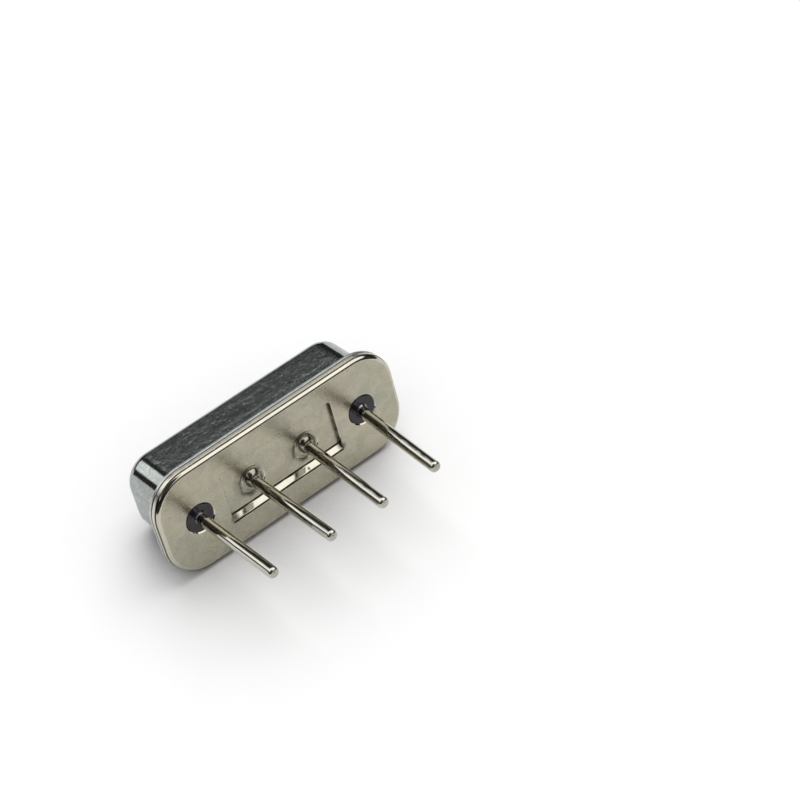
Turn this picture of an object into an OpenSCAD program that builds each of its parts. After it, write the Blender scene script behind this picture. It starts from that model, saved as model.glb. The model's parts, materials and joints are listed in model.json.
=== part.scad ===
// Surface acoustic wave resonator in a flat four-lead metal package.
//
// A drawn can is seam welded to a coined header. Two signal leads pass through
// the header in glass seals, and two ground leads are butt-welded under it.
// Inside, a quartz die is glued to the header, and a bond wire runs from the
// head of each signal lead to one comb of the transducer on the die.
//
// Every sub-part is drawn in the package frame: X along the row of leads, Z up
// from the header's underside (the seating face, z = 0) to the top of the can,
// and the leads running down to negative Z. lay_down() then turns the whole
// package onto its long side, resting on the edge of the flange and on the
// rounded top edge of the can, as a loose resonator comes to lie on a table.

/* [Package] */
// Length of the welded flange
flange_length = 11; // [10.6:0.1:12]
// Width of the welded flange
flange_width = 4.5; // [4.4:0.1:5]
// Corner radius of the flange, seen from above
flange_corner = 1.6; // [1.5:0.05:1.8]
// Height from the seating face to the top of the can
package_height = 3.15; // [2.8:0.05:3.6]

/* [Can] */
// Thickness of the drawn sheet
sheet = 0.16; // [0.12:0.02:0.2]
// Length of the drawn body over its walls
can_length = 10; // [9.9:0.05:10.1]
// Width of the drawn body over its walls
can_width = 3.3; // [3.2:0.05:3.4]
// Corner radius of the drawn body, seen from above
can_corner = 1.1; // [1:0.05:1.2]
// Outer radius of the edge between the walls and the top
top_round = 0.45; // [0.3:0.05:0.5]
// Outer radius of the bend between the walls and the flange
bend_round = 0.12; // [0.06:0.02:0.16]
// How far the drawn body sits off the middle of the flange
can_shift = 0.1; // [0:0.05:0.15]

/* [Header] */
// Thickness of the header's rim, under the flange of the can
rim_thickness = 0.36; // [0.34:0.02:0.5]
// Rounding of the rim's lower edge
rim_round = 0.2; // [0.1:0.01:0.24]
// Rounding of the three edges that meet the weld seam: one on the rim of the
// header and two on the flange of the can
seam_round = 0.05; // [0.02:0.01:0.06]
// Length of the raised middle of the header, inside the can
plateau_length = 9.2; // [9:0.1:9.3]
// Width of the raised middle of the header
plateau_width = 2.5; // [2.3:0.1:2.6]
// Height of the raised middle above the seating face
plateau_height = 0.83; // [0.7:0.01:0.9]
// Height that the bed under the die adds to the raised middle
bed_height = 0.12; // [0.05:0.01:0.2]
// Length of the pocket coined into the underside, at its mouth
pocket_length = 5.15; // [5:0.05:5.4]
// Width of the pocket at its mouth
pocket_width = 2.32; // [2.2:0.01:2.4]
// Depth of the pocket
pocket_depth = 0.2; // [0.19:0.01:0.26]
// How far the pocket's sloped long wall runs inward over its depth
pocket_slope = 0.26; // [0.2:0.01:0.3]
// Radius that blends the sloped wall into the seating face and the pocket's floor
pocket_blend = 0.2; // [0.1:0.02:0.24]
// How far the pocket's three steep walls lean inward over its depth
pocket_draft = 0.03; // [0.02:0.01:0.1]
// How far the pocket sits off the middle, across the package
pocket_offset = -0.045; // [-0.1:0.005:0.1]

/* [Leads] */
// Distance from one lead to the next
lead_pitch = 2.54; // [2.5:0.02:2.56]
// Diameter of a lead
lead_diameter = 0.45; // [0.4:0.01:0.5]
// Length of each lead below the seating face
lead_lengths = [4.7, 4.85, 4.8, 4.8]; // each [4:0.05:5.5]
// Where each lead's root sits off its place, along and across the row
root_slips = [[0, 0], [0, 0], [-0.05, 0.05], [-0.05, 0.03]]; // each [-0.06:0.01:0.06]
// How far each lead's tip stands off its root, along and across the row
tip_drifts = [[0, 0], [0, 0], [-0.12, 0.11], [-0.22, 0.12]]; // each [-0.25:0.01:0.25]
// Rounding of a lead's cut end
tip_round = 0.07; // [0.03:0.01:0.1]
// Diameter of the flattened head on a signal lead, inside the can
head_diameter = 0.7; // [0.6:0.05:0.8]
// Thickness of that head
head_thickness = 0.1; // [0.06:0.02:0.14]

/* [Seals and welds] */
// Diameter of the glass seal round a signal lead
seal_diameter = 1.2; // [1.1:0.05:1.3]
// Bevel at the mouth of the seal's bore
bore_bevel = 0.04; // [0.02:0.01:0.06]
// How far the glass climbs along the lead
meniscus = 0.09; // [0.04:0.01:0.12]
// Diameter of the upset foot that welds a ground lead to the header
foot_diameter = 0.78; // [0.66:0.02:0.82]
// Rounding of the foot's rim
foot_edge = 0.05; // [0.02:0.01:0.06]
// Diameter of the shallow groove that the weld leaves round the foot
crater_diameter = 1; // [0.98:0.02:1.2]
// Width of that groove
crater_width = 0.16; // [0.08:0.02:0.2]
// Depth of that groove
crater_depth = 0.03; // [0.01:0.01:0.05]

/* [Die] */
// Length of the quartz die
die_length = 4.6; // [4.5:0.1:5]
// Width of the quartz die
die_width = 1.5; // [1.3:0.1:1.7]
// Thickness of the quartz die
die_thickness = 0.35; // [0.3:0.05:0.5]
// Thickness of the glue under the die
glue_thickness = 0.05; // [0.03:0.01:0.08]
// Thickness of the metal film on the die
film_thickness = 0.01; // [0.01:0.005:0.02]
// Width of one finger, and of the gap beside it
finger_width = 0.03; // [0.025:0.005:0.03]
// Number of fingers in each of the two combs
comb_fingers = 12; // [6:1:13]
// Number of strips in each reflector
reflector_strips = 16; // [8:1:17]
// Length over which the fingers of the two combs overlap
aperture = 0.7; // [0.5:0.05:0.75]
// Diameter of a bond wire
wire_diameter = 0.04; // [0.03:0.005:0.05]
// Height of a bond wire's loop
wire_rise = 0.4; // [0.2:0.05:0.6]

/* [Hidden] */
$fn = 48;

// Levels above the seating face
flange_top = rim_thickness + sheet;
bed_top = plateau_height + bed_height;
die_floor = bed_top + glue_thickness;
die_top = die_floor + die_thickness;
film_top = die_top + film_thickness;

// Smaller roundings of the header
plateau_corner = 0.9;
bed_corner = 0.3;
bed_margin = 0.15;
pocket_corner = 0.12;
pocket_lip = 0.05;
pocket_angle = atan2(pocket_depth, pocket_slope);
pocket_reach = pocket_blend * tan(pocket_angle / 2);
crater_r = (crater_width * crater_width / 4 + crater_depth * crater_depth) / (2 * crater_depth);

// Leads and seals
lead_r = lead_diameter / 2;
lead_x = [for (i = [0:3]) (i - 1.5) * lead_pitch];
seal_r = seal_diameter / 2;
through = 2;

// Metal film on the die
finger_pitch = 2 * finger_width;
comb_span = 2 * comb_fingers * finger_pitch;
reflector_span = reflector_strips * finger_pitch;
bar_width = 0.1;
bar_gap = 0.04;
bar_y = aperture / 2 + bar_gap;
short_width = 0.03;
pad_size = 0.32;
pad_x = die_length / 2 - 0.3;

// Bond wires
ball_r = 0.07;
ball_height = 0.04;
wire_inset = 0.16;
wire_r = wire_diameter / 2;

// Rest pose. The table's plane touches the rounded upper edge of the flange and
// the rounded top edge of the can, and that sets the tilt.
edge_y = flange_width / 2 - seam_round;
edge_z = flange_top - seam_round;
rest_y = edge_y - (can_width / 2 - top_round);
rest_z = package_height - top_round - edge_z;
tilt = atan2(rest_y, rest_z) - asin((top_round - seam_round) / norm([rest_y, rest_z]));
table_drop = edge_y * cos(tilt) + edge_z * sin(tilt) + seam_round;

// Reach of the tilted package to the front, at the longest lead's cut end,
// and to the back, at the far top edge of the can
front = -(max(lead_lengths) - tip_round) * cos(tilt)
    - (lead_r - tip_round) * sin(tilt) - tip_round;
back = (can_width / 2 - top_round) * sin(tilt)
    + (package_height - top_round) * cos(tilt) + top_round;

// Turns the package onto its side and sets it on z = 0 with its box centred
module lay_down() {
    translate([0, -(front + back) / 2, table_drop])
        rotate([-90 - tilt, 0, 0])
            children();
}

// Flat plate with rounded corners, from z = 0 up
module round_plate(length, width, radius, height) {
    linear_extrude(height) {
        square([length - 2 * radius, width], center = true);
        square([length, width - 2 * radius], center = true);
        for (x = [-1, 1], y = [-1, 1])
            translate([x * (length / 2 - radius), y * (width / 2 - radius)])
                circle(radius);
    }
}

// Solid whose edge profile, the child, is carried round a rounded rectangle.
// The profile starts at the corner's centre (x = 0) and spans floor to roof.
module round_body(length, width, radius, floor, roof) {
    cx = length / 2 - radius;
    cy = width / 2 - radius;
    translate([-cx, -cy, floor])
        cube([2 * cx, 2 * cy, roof - floor]);
    for (turn = [0, 180])
        rotate([0, 0, turn]) {
            translate([cx, cy, 0])
                rotate([90, 0, 0])
                    linear_extrude(2 * cy)
                        children();
            translate([-cx, cy, 0])
                rotate([90, 0, 90])
                    linear_extrude(2 * cx)
                        children();
            translate([cx, cy, 0])
                rotate_extrude(angle = 90)
                    children();
            translate([-cx, cy, 0])
                rotate([0, 0, 90])
                    rotate_extrude(angle = 90)
                        children();
        }
}

// Quarter disc that rounds an edge, from its centre outward and up
module quarter_disc(radius) {
    intersection() {
        circle(radius);
        square(radius);
    }
}

// Edge profile with a straight wall between a lower and an upper edge, each
// rounded to its own radius
module edge_profile(radius, floor, roof, lower, upper) {
    translate([0, floor + lower])
        square([radius, roof - upper - floor - lower]);
    translate([0, floor + lower])
        square([radius - upper, roof - floor - lower]);
    translate([0, floor])
        square([radius - lower, roof - upper - floor]);
    translate([radius - upper, roof - upper])
        quarter_disc(upper);
    if (lower > 0)
        translate([radius - lower, floor + lower])
            mirror([0, 1])
                quarter_disc(lower);
}

// Edge profile that flares outward to its floor along a quarter circle
module flared_profile(radius, floor, flare) {
    difference() {
        translate([0, floor])
            square([radius + flare, flare]);
        translate([radius + flare, floor + flare])
            circle(flare);
    }
}

// Can: top, walls and flange, drawn from one sheet
module can_outside() {
    round_body(flange_length, flange_width, flange_corner, rim_thickness, flange_top)
        edge_profile(flange_corner, rim_thickness, flange_top, seam_round, seam_round);
    translate([can_shift, 0, 0]) {
        round_body(can_length, can_width, can_corner, rim_thickness, package_height)
            edge_profile(can_corner, rim_thickness, package_height, 0, top_round);
        round_body(can_length, can_width, can_corner, flange_top, flange_top + bend_round)
            flared_profile(can_corner, flange_top, bend_round);
    }
}

module can_inside() {
    length = can_length - 2 * sheet;
    width = can_width - 2 * sheet;
    corner = can_corner - sheet;
    roof = package_height - sheet;
    bend = bend_round + sheet;
    translate([can_shift, 0, 0]) {
        round_body(length, width, corner, 0, roof)
            edge_profile(corner, 0, roof, 0, top_round - sheet);
        round_body(length, width, corner, rim_thickness, rim_thickness + bend)
            flared_profile(corner, rim_thickness, bend);
    }
}

module can() {
    color([0.80, 0.80, 0.78])
        lay_down()
            difference() {
                can_outside();
                can_inside();
            }
}

// Sliver between a corner and the arc that rounds it. One side of the corner
// lies along negative X, and the other turns up from it by the given angle.
module corner_sliver(radius, angle) {
    reach = radius * tan(angle / 2);
    difference() {
        polygon([
            [-reach, 0],
            [0, 0],
            [reach * cos(angle), reach * sin(angle)]
        ]);
        translate([-reach, radius])
            circle(radius);
    }
}

// Cross-section of the pocket with its sloped wall on the right. On the left it
// reaches past the steep wall, which pocket() cuts.
module pocket_section() {
    half = pocket_width / 2;
    floor_half = half - pocket_slope;
    left = -half - 2 * pocket_lip;
    difference() {
        polygon([
            [left, 0],
            [half, 0],
            [floor_half, pocket_depth],
            [left, pocket_depth]
        ]);
        translate([floor_half, pocket_depth])
            mirror([0, 1])
                corner_sliver(pocket_blend, pocket_angle);
    }
    translate([half, 0])
        mirror([1, 0])
            corner_sliver(pocket_blend, pocket_angle);
    translate([left, -pocket_lip])
        square([half + pocket_reach - left, pocket_lip]);
}

// Edge profile of the pocket's steep walls, each under a rounded lip
module pocket_wall_profile() {
    translate([0, -pocket_lip])
        square([pocket_corner + pocket_lip, pocket_lip]);
    flared_profile(pocket_corner, 0, pocket_lip);
    polygon([
        [0, 0],
        [pocket_corner, 0],
        [pocket_corner, pocket_lip],
        [pocket_corner - pocket_draft, pocket_depth],
        [0, pocket_depth]
    ]);
}

// Pocket under the header: one sloped long wall and three steep walls
module pocket() {
    translate([0, pocket_offset, 0])
        intersection() {
            translate([0, pocket_reach / 2, 0])
                round_body(pocket_length, pocket_width + pocket_reach, pocket_corner,
                           -pocket_lip, pocket_depth)
                    pocket_wall_profile();
            rotate([90, 0, 90])
                translate([0, 0, -pocket_length])
                    linear_extrude(2 * pocket_length)
                        pocket_section();
        }
}

// Shallow ring groove that the weld of a ground lead leaves in the pocket's floor
module weld_crater(i) {
    translate([lead_x[i] + root_slips[i][0], root_slips[i][1], pocket_depth])
        rotate_extrude()
            translate([crater_diameter / 2, crater_depth - crater_r])
                circle(crater_r);
}

// Bore of a glass seal, bevelled where it meets the seating face
module seal_bore(i) {
    translate([lead_x[i], 0, 0]) {
        translate([0, 0, -through])
            cylinder(r = seal_r, h = 2 * through);
        cylinder(r1 = seal_r + bore_bevel, r2 = seal_r, h = bore_bevel);
    }
}

// Header: rim, raised middle and die bed in one coined plate
module header() {
    color([0.72, 0.69, 0.62])
        lay_down()
            difference() {
                union() {
                    round_body(flange_length, flange_width, flange_corner, 0, rim_thickness)
                        edge_profile(flange_corner, 0, rim_thickness, rim_round, seam_round);
                    translate([0, 0, rim_round])
                        round_plate(plateau_length, plateau_width, plateau_corner,
                                    plateau_height - rim_round);
                    translate([0, 0, rim_thickness])
                        round_plate(pocket_length, plateau_width - 2 * bed_margin,
                                    bed_corner, bed_top - rim_thickness);
                }
                pocket();
                for (i = [1, 2])
                    weld_crater(i);
                for (i = [0, 3])
                    seal_bore(i);
            }
}

// Sets its children on the axis of lead i: local Z runs down the lead, and
// local z = 0 lies where the lead passes the seating face
module on_lead(i) {
    run = [tip_drifts[i][0], tip_drifts[i][1], -lead_lengths[i]];
    translate([lead_x[i] + root_slips[i][0], root_slips[i][1], 0])
        rotate([0, 180 - acos(-run[2] / norm(run)), atan2(run[1], run[0])])
            children();
}

// Ring of glass that climbs a lead from z = 0 in a hollow curve
module meniscus_ring() {
    rotate_extrude()
        difference() {
            translate([0, -meniscus])
                square([lead_r + meniscus, 2 * meniscus]);
            translate([lead_r + 1.4 * meniscus, 1.4 * meniscus])
                circle(norm([0.4, 1.4]) * meniscus);
        }
}

// Glass seal round a signal lead, filling its bore in the header
module glass_seal(i) {
    color([0.20, 0.17, 0.24])
        lay_down()
            difference() {
                union() {
                    translate([lead_x[i], 0, bore_bevel])
                        cylinder(r = seal_r, h = plateau_height - bore_bevel);
                    on_lead(i)
                        translate([0, 0, -bore_bevel])
                            meniscus_ring();
                    on_lead(i)
                        translate([0, 0, -plateau_height])
                            mirror([0, 0, 1])
                                meniscus_ring();
                }
                on_lead(i)
                    translate([0, 0, -through])
                        cylinder(r = lead_r, h = 2 * through);
            }
}

module glass_seal_1() {
    glass_seal(0);
}

module glass_seal_4() {
    glass_seal(3);
}

// Half outline of a lead, from its inner end down to the rounded cut end
module lead_profile(i, inner_end) {
    length = norm([tip_drifts[i][0], tip_drifts[i][1], lead_lengths[i]]);
    translate([0, -inner_end])
        square([lead_r, length - tip_round + inner_end]);
    translate([0, length - tip_round])
        square([lead_r - tip_round, tip_round]);
    translate([lead_r - tip_round, length - tip_round])
        quarter_disc(tip_round);
}

// Signal lead: runs through the glass to a flattened head for the bond wire
module signal_lead_shape(i) {
    on_lead(i)
        rotate_extrude() {
            lead_profile(i, die_top);
            translate([0, -die_top])
                square([head_diameter / 2, head_thickness]);
        }
}

module signal_lead(i) {
    color([0.78, 0.76, 0.70])
        lay_down()
            signal_lead_shape(i);
}

module signal_lead_1() {
    signal_lead(0);
}

module signal_lead_4() {
    signal_lead(3);
}

// Half outline of the foot. Its rounded rim runs into the lead in a hollow
// curve that ends at the seating face, and it reaches past the pocket's floor.
module foot_profile() {
    foot_r = foot_diameter / 2;
    crown_r = foot_r - foot_edge;
    sweep = crown_r - lead_r;
    rim_z = -sweep - foot_edge;
    base_z = -pocket_depth - foot_edge;
    translate([0, base_z])
        square([foot_r, rim_z - base_z]);
    translate([crown_r, rim_z])
        circle(foot_edge);
    difference() {
        translate([0, rim_z])
            square([crown_r, -rim_z]);
        translate([crown_r, 0])
            circle(sweep);
    }
}

// Ground lead: its foot stands flat on the floor of the pocket
module ground_lead(i) {
    root = [lead_x[i] + root_slips[i][0], root_slips[i][1], pocket_depth];
    color([0.78, 0.76, 0.70])
        lay_down()
            difference() {
                on_lead(i)
                    rotate_extrude() {
                        lead_profile(i, 0);
                        foot_profile();
                    }
                translate(root)
                    cylinder(d = 2 * foot_diameter, h = foot_diameter);
            }
}

module ground_lead_2() {
    ground_lead(1);
}

module ground_lead_3() {
    ground_lead(2);
}

module die_adhesive() {
    margin = 0.08;
    color([0.85, 0.83, 0.78])
        lay_down()
            translate([0, 0, bed_top])
                round_plate(die_length + 2 * margin, die_width + 2 * margin,
                            margin, glue_thickness);
}

module quartz_die() {
    color([0.86, 0.90, 0.92])
        lay_down()
            translate([-die_length / 2, -die_width / 2, die_floor])
                cube([die_length, die_width, die_thickness]);
}

// Sets a flat pattern on the die as metal film. Each pattern is drawn for the
// left end, and a half turn gives its twin at the right end.
module film(turn) {
    color([0.93, 0.93, 0.95])
        lay_down()
            translate([0, 0, die_top])
                rotate([0, 0, turn])
                    linear_extrude(film_thickness)
                        children();
}

// Comb: a bar with fingers, and a track out to the pad under its bond wire
module comb_pattern() {
    left = -comb_span / 2;
    track_floor = -bar_y - bar_width;
    translate([left, track_floor])
        square([comb_span, bar_width]);
    for (k = [0:comb_fingers - 1])
        translate([left + 2 * k * finger_pitch + finger_width / 2, track_floor])
            square([finger_width, bar_y + bar_width + aperture / 2]);
    translate([-pad_x, track_floor])
        square([pad_x + left + bar_width, bar_width]);
    translate([-pad_x - pad_size / 2, track_floor])
        square([pad_size, bar_y + bar_width + pad_size / 2]);
}

// Reflector: strips shorted by a thin bar along each side
module reflector_pattern() {
    left = -comb_span / 2 - reflector_span;
    translate([left, -aperture / 2])
        square([reflector_span - finger_width, short_width]);
    translate([left, aperture / 2 - short_width])
        square([reflector_span - finger_width, short_width]);
    for (k = [0:reflector_strips - 1])
        translate([left + k * finger_pitch, -aperture / 2])
            square([finger_width, aperture]);
}

module comb_left() {
    film(0)
        comb_pattern();
}

module comb_right() {
    film(180)
        comb_pattern();
}

module reflector_left() {
    film(0)
        reflector_pattern();
}

module reflector_right() {
    film(180)
        reflector_pattern();
}

// Bond wire: an arc from the head of signal lead i to the pad on its side
module bond_wire(i) {
    side = sign(lead_x[i]);
    head_x = abs(lead_x[i] + root_slips[i][0]) - wire_inset;
    half_chord = (head_x - pad_x) / 2;
    arc_r = (half_chord * half_chord + wire_rise * wire_rise) / (2 * wire_rise);
    half_angle = asin(half_chord / arc_r);
    end_z = film_top + ball_height / 2;
    color([0.88, 0.87, 0.85])
        lay_down()
            difference() {
                union() {
                    translate([side * pad_x, 0, film_top])
                        cylinder(r = ball_r, h = ball_height);
                    translate([side * head_x, 0, die_top - ball_height])
                        cylinder(r = ball_r, h = 2 * ball_height + film_thickness);
                    translate([side * (head_x + pad_x) / 2, 0,
                               end_z - arc_r * cos(half_angle)])
                        rotate([90, 0, 0])
                            rotate([0, 0, 90 - half_angle])
                                rotate_extrude(angle = 2 * half_angle)
                                    translate([arc_r, 0])
                                        circle(wire_r);
                }
                signal_lead_shape(i);
            }
}

module bond_wire_left() {
    bond_wire(0);
}

module bond_wire_right() {
    bond_wire(3);
}

can();
header();
glass_seal_1();
glass_seal_4();
signal_lead_1();
ground_lead_2();
ground_lead_3();
signal_lead_4();
die_adhesive();
quartz_die();
comb_left();
comb_right();
reflector_left();
reflector_right();
bond_wire_left();
bond_wire_right();
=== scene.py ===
"""Looks of a surface acoustic wave resonator in a flat four-lead metal package.

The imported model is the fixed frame. The can, the header and the pieces inside keep their
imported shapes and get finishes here. The leads, their weld feet, the glass seals and the
weld bead are modelled in finer detail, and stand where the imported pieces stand.
"""

import json
import logging
import math
from dataclasses import dataclass, field
from enum import Enum
from typing import Any, Callable, ClassVar, Sequence

import bmesh
import bpy
from mathutils import Matrix, Quaternion, Vector, noise


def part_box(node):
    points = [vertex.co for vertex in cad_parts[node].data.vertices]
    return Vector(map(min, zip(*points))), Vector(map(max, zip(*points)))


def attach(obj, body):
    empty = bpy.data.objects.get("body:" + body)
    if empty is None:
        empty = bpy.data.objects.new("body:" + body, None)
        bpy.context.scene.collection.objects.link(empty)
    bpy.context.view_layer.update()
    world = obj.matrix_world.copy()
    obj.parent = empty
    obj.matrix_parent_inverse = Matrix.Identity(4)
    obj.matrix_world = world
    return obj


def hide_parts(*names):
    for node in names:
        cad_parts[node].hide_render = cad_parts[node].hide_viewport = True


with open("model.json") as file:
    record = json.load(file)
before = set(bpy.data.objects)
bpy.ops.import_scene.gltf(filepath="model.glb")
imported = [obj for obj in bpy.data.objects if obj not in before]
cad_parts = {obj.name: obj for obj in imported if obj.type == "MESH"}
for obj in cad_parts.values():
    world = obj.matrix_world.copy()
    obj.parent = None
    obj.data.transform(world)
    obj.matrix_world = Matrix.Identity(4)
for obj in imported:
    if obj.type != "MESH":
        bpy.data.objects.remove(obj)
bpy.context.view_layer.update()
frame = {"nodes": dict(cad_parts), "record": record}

LOG = logging.getLogger("resonator")
MM = 0.001
Colour = tuple[float, float, float]
Spot = tuple[float, float, float]
ProfilePoint = tuple[float, float]


class Slot(Enum):
    """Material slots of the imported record."""

    CAN = "can_nickel"
    HEADER = "header_nickel"
    LEAD = "lead_nickel"
    GLASS = "seal_glass"
    QUARTZ = "die_quartz"
    GLUE = "die_glue"
    FILM = "metal_film"
    WIRE = "bond_wire"


# ---------------------------------------------------------------- package frame


@dataclass(frozen=True)
class PackageFrame:
    """The package's own axes, in which it stands on its leads' side.

    Local X runs along the row of leads, local Z from the seating face up to the top of
    the can, and the leads run to negative Z. Lengths are in millimetres.
    """

    origin: Vector
    along: Vector
    across: Vector
    up: Vector

    # The seating mark lies this far off the middle, towards the edge that is on top.
    SEAT_OFFSET: ClassVar[float] = 1.6

    @classmethod
    def from_record(cls, record: dict[str, Any]) -> "PackageFrame":
        """Reads the axes from the mount on the seating face.

        Args:
            record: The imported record.

        Returns:
            The package frame in the row frame.
        """
        seat = mount(record, "seating_face")
        up = -Vector(seat["axis"]).normalized()
        along = Vector((1.0, 0.0, 0.0))
        across = up.cross(along).normalized()
        origin = Vector(seat["pos_m"]) + across * cls.SEAT_OFFSET * MM
        return cls(origin, along, across, up)

    def matrix(self) -> Matrix:
        """Returns the matrix from package millimetres to row metres."""
        turn = Matrix((self.along, self.across, self.up)).transposed().to_4x4()
        return Matrix.Translation(self.origin) @ turn @ Matrix.Scale(MM, 4)


@dataclass(frozen=True)
class Flange:
    """Outline of the welded flange, in millimetres."""

    length: float = 11.0
    width: float = 4.5
    corner: float = 1.6

    def straights(self) -> tuple[float, float]:
        """Returns the lengths of the straight stretches along X and along Y."""
        return self.length - 2 * self.corner, self.width - 2 * self.corner


@dataclass(frozen=True)
class Pocket:
    """The pocket in the header's underside, in millimetres from the package's origin."""

    half_length: float = 3.1
    half_width: float = 1.55
    depth: float = 0.2
    slope_from: float = 0.55
    foot_line: float = 0.165
    lip_line: float = 0.03


def mount(record: dict[str, Any], name: str) -> dict[str, Any]:
    """Finds a mount of the record by its name.

    Args:
        record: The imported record.
        name: The mount's name.

    Returns:
        The mount's entry.
    """
    return next(m for m in record["mounts"] if m["name"] == name)


PACKAGE = PackageFrame.from_record(frame["record"])
FLANGE = Flange()
POCKET = Pocket()


# ---------------------------------------------------------------- node trees


class Tree:
    """Writes one node tree: adds nodes, sets their plain values and links them."""

    def __init__(self, tree: bpy.types.NodeTree) -> None:
        """Takes the tree that is written."""
        self.tree = tree

    def add(self, kind: str, inputs: dict[Any, Any] | None = None, **settings: Any) -> Any:
        """Adds a node.

        Args:
            kind: The node's type name, without the common prefix.
            inputs: Values or sockets by input name or index.
            **settings: The node's own properties.

        Returns:
            The node.
        """
        node = self.tree.nodes.new("ShaderNode" + kind)
        for key, value in settings.items():
            setattr(node, key, value)
        for key, value in (inputs or {}).items():
            self.feed(node.inputs[key], value)
        return node

    def feed(self, socket: Any, value: Any) -> None:
        """Links a socket to another socket, or sets its plain value.

        Args:
            socket: The input that is fed.
            value: The socket it is linked to, or its plain value.
        """
        if isinstance(value, bpy.types.NodeSocket):
            self.tree.links.new(value, socket)
        else:
            socket.default_value = value

    def math(self, operation: str, *values: Any, clamp: bool = False) -> Any:
        """Adds a Math node.

        Args:
            operation: What the node works out.
            *values: Its operands, as numbers or sockets.
            clamp: Whether the result stays between 0 and 1.

        Returns:
            The result's socket.
        """
        node = self.add("Math", operation=operation, use_clamp=clamp)
        for socket, value in zip(node.inputs, values):
            self.feed(socket, value)
        return node.outputs[0]

    def times(self, first: Any, *others: Any) -> Any:
        """Multiplies values, in their order.

        Args:
            first: The first factor.
            *others: The other factors.

        Returns:
            The product's socket.
        """
        for other in others:
            first = self.math("MULTIPLY", first, other)
        return first

    def most(self, first: Any, *others: Any) -> Any:
        """Finds the largest of several values.

        Args:
            first: The first value.
            *others: The other values.

        Returns:
            The largest value's socket.
        """
        for other in others:
            first = self.math("MAXIMUM", first, other)
        return first

    def mix(self, factor: Any, first: Any, second: Any) -> Any:
        """Mixes two colours.

        Args:
            factor: Share of the second colour.
            first: The first colour, as four numbers or a socket.
            second: The second colour.

        Returns:
            The mixed colour's socket.
        """
        node = self.add("Mix", data_type="RGBA", clamp_factor=True)
        colours = [s for s in node.inputs if s.type == "RGBA"]
        self.feed(node.inputs[0], factor)
        self.feed(colours[0], first)
        self.feed(colours[1], second)
        return next(s for s in node.outputs if s.type == "RGBA")

    def remap(self, value: Any, low: float, high: float, start: float = 0.0,
              end: float = 1.0) -> Any:
        """Maps a range to another, with soft ends and nothing past them.

        Args:
            value: The value that is mapped.
            low: The value that becomes start.
            high: The value that becomes end.
            start: The first end of the new range.
            end: The other end of it.

        Returns:
            The mapped value's socket.
        """
        node = self.add(
            "MapRange",
            {"Value": value, "From Min": low, "From Max": high, "To Min": start, "To Max": end},
            interpolation_type="SMOOTHSTEP", clamp=True)
        return node.outputs[0]

    def rise(self, value: Any, level: float, soft: float) -> Any:
        """Returns 0 below a level and 1 above it, with a soft step on both sides."""
        return self.remap(value, level - soft, level + soft)

    def fall(self, value: Any, level: float, soft: float) -> Any:
        """Returns 1 below a level and 0 above it, with a soft step on both sides."""
        return self.remap(value, level + soft, level - soft)

    def near(self, value: Any, centre: Any, reach: float) -> Any:
        """Returns 1 where a value is at a centre, down to 0 a reach away."""
        return self.remap(self.off(value, centre), 0.0, reach, 1.0, 0.0)

    def off(self, value: Any, centre: Any) -> Any:
        """Returns how far a value is from a centre."""
        return self.math("ABSOLUTE", self.math("SUBTRACT", value, centre))

    def vector(self, operation: str, first: Any, second: Any = (0.0, 0.0, 0.0)) -> Any:
        """Adds a Vector Math node.

        Args:
            operation: What the node works out.
            first: The first vector.
            second: The second vector.

        Returns:
            The result's socket: a value for a length, a distance or a dot product.
        """
        node = self.add("VectorMath", {0: first, 1: second}, operation=operation)
        plain = operation in ("LENGTH", "DISTANCE", "DOT_PRODUCT")
        return node.outputs["Value" if plain else "Vector"]

    def stretch(self, vector: Any, scale: Sequence[float]) -> Any:
        """Scales a vector by axis and returns the result."""
        return self.vector("MULTIPLY", vector, tuple(scale))

    def axes(self, vector: Any) -> Any:
        """Splits a vector and returns its parts by axis name."""
        return self.add("SeparateXYZ", {0: vector}).outputs

    def noise(self, vector: Any, scale: Any, detail: float = 2.0, roughness: float = 0.5,
              distortion: float = 0.0) -> Any:
        """Adds a noise texture.

        Args:
            vector: Where the noise is read.
            scale: How closely its bumps are set.
            detail: How many finer layers it has.
            roughness: How strong the finer layers are.
            distortion: How far it is stirred.

        Returns:
            The noise's socket, around 0.5.
        """
        node = self.add(
            "TexNoise",
            {"Vector": vector, "Scale": scale, "Detail": detail, "Roughness": roughness,
             "Distortion": distortion})
        return node.outputs[0]

    def normal(self) -> Any:
        """Returns the piece's own normal, before any relief."""
        return self.add("TexCoord").outputs["Normal"]


class Effect:
    """A shader node group that several finishes share."""

    def __init__(self, name: str, inputs: Sequence[tuple], outputs: Sequence[tuple],
                 write: Callable[[Tree, Any], dict[str, Any]]) -> None:
        """Builds the group.

        Args:
            name: The group's name.
            inputs: (name, socket kind, default) of each input.
            outputs: (name, socket kind) of each output.
            write: Fills the group and returns a socket for each output.
        """
        self.group = bpy.data.node_groups.new(name, "ShaderNodeTree")
        for label, kind, default in inputs:
            socket = self.group.interface.new_socket(
                label, in_out="INPUT", socket_type="NodeSocket" + kind)
            if default is not None:
                socket.default_value = default
        for label, kind in outputs:
            self.group.interface.new_socket(
                label, in_out="OUTPUT", socket_type="NodeSocket" + kind)
        tree = Tree(self.group)
        entry = self.group.nodes.new("NodeGroupInput")
        made = write(tree, entry.outputs)
        leave = self.group.nodes.new("NodeGroupOutput")
        for label, socket in made.items():
            tree.feed(leave.inputs[label], socket)

    def place(self, tree: Tree, **values: Any) -> Any:
        """Places the group in a tree.

        Args:
            tree: The material's tree.
            **values: Values or sockets by input name, with _ for a space.

        Returns:
            The group node's outputs.
        """
        node = tree.tree.nodes.new("ShaderNodeGroup")
        node.node_tree = self.group
        for key, value in values.items():
            tree.feed(node.inputs[key.replace("_", " ")], value)
        return node.outputs


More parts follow.
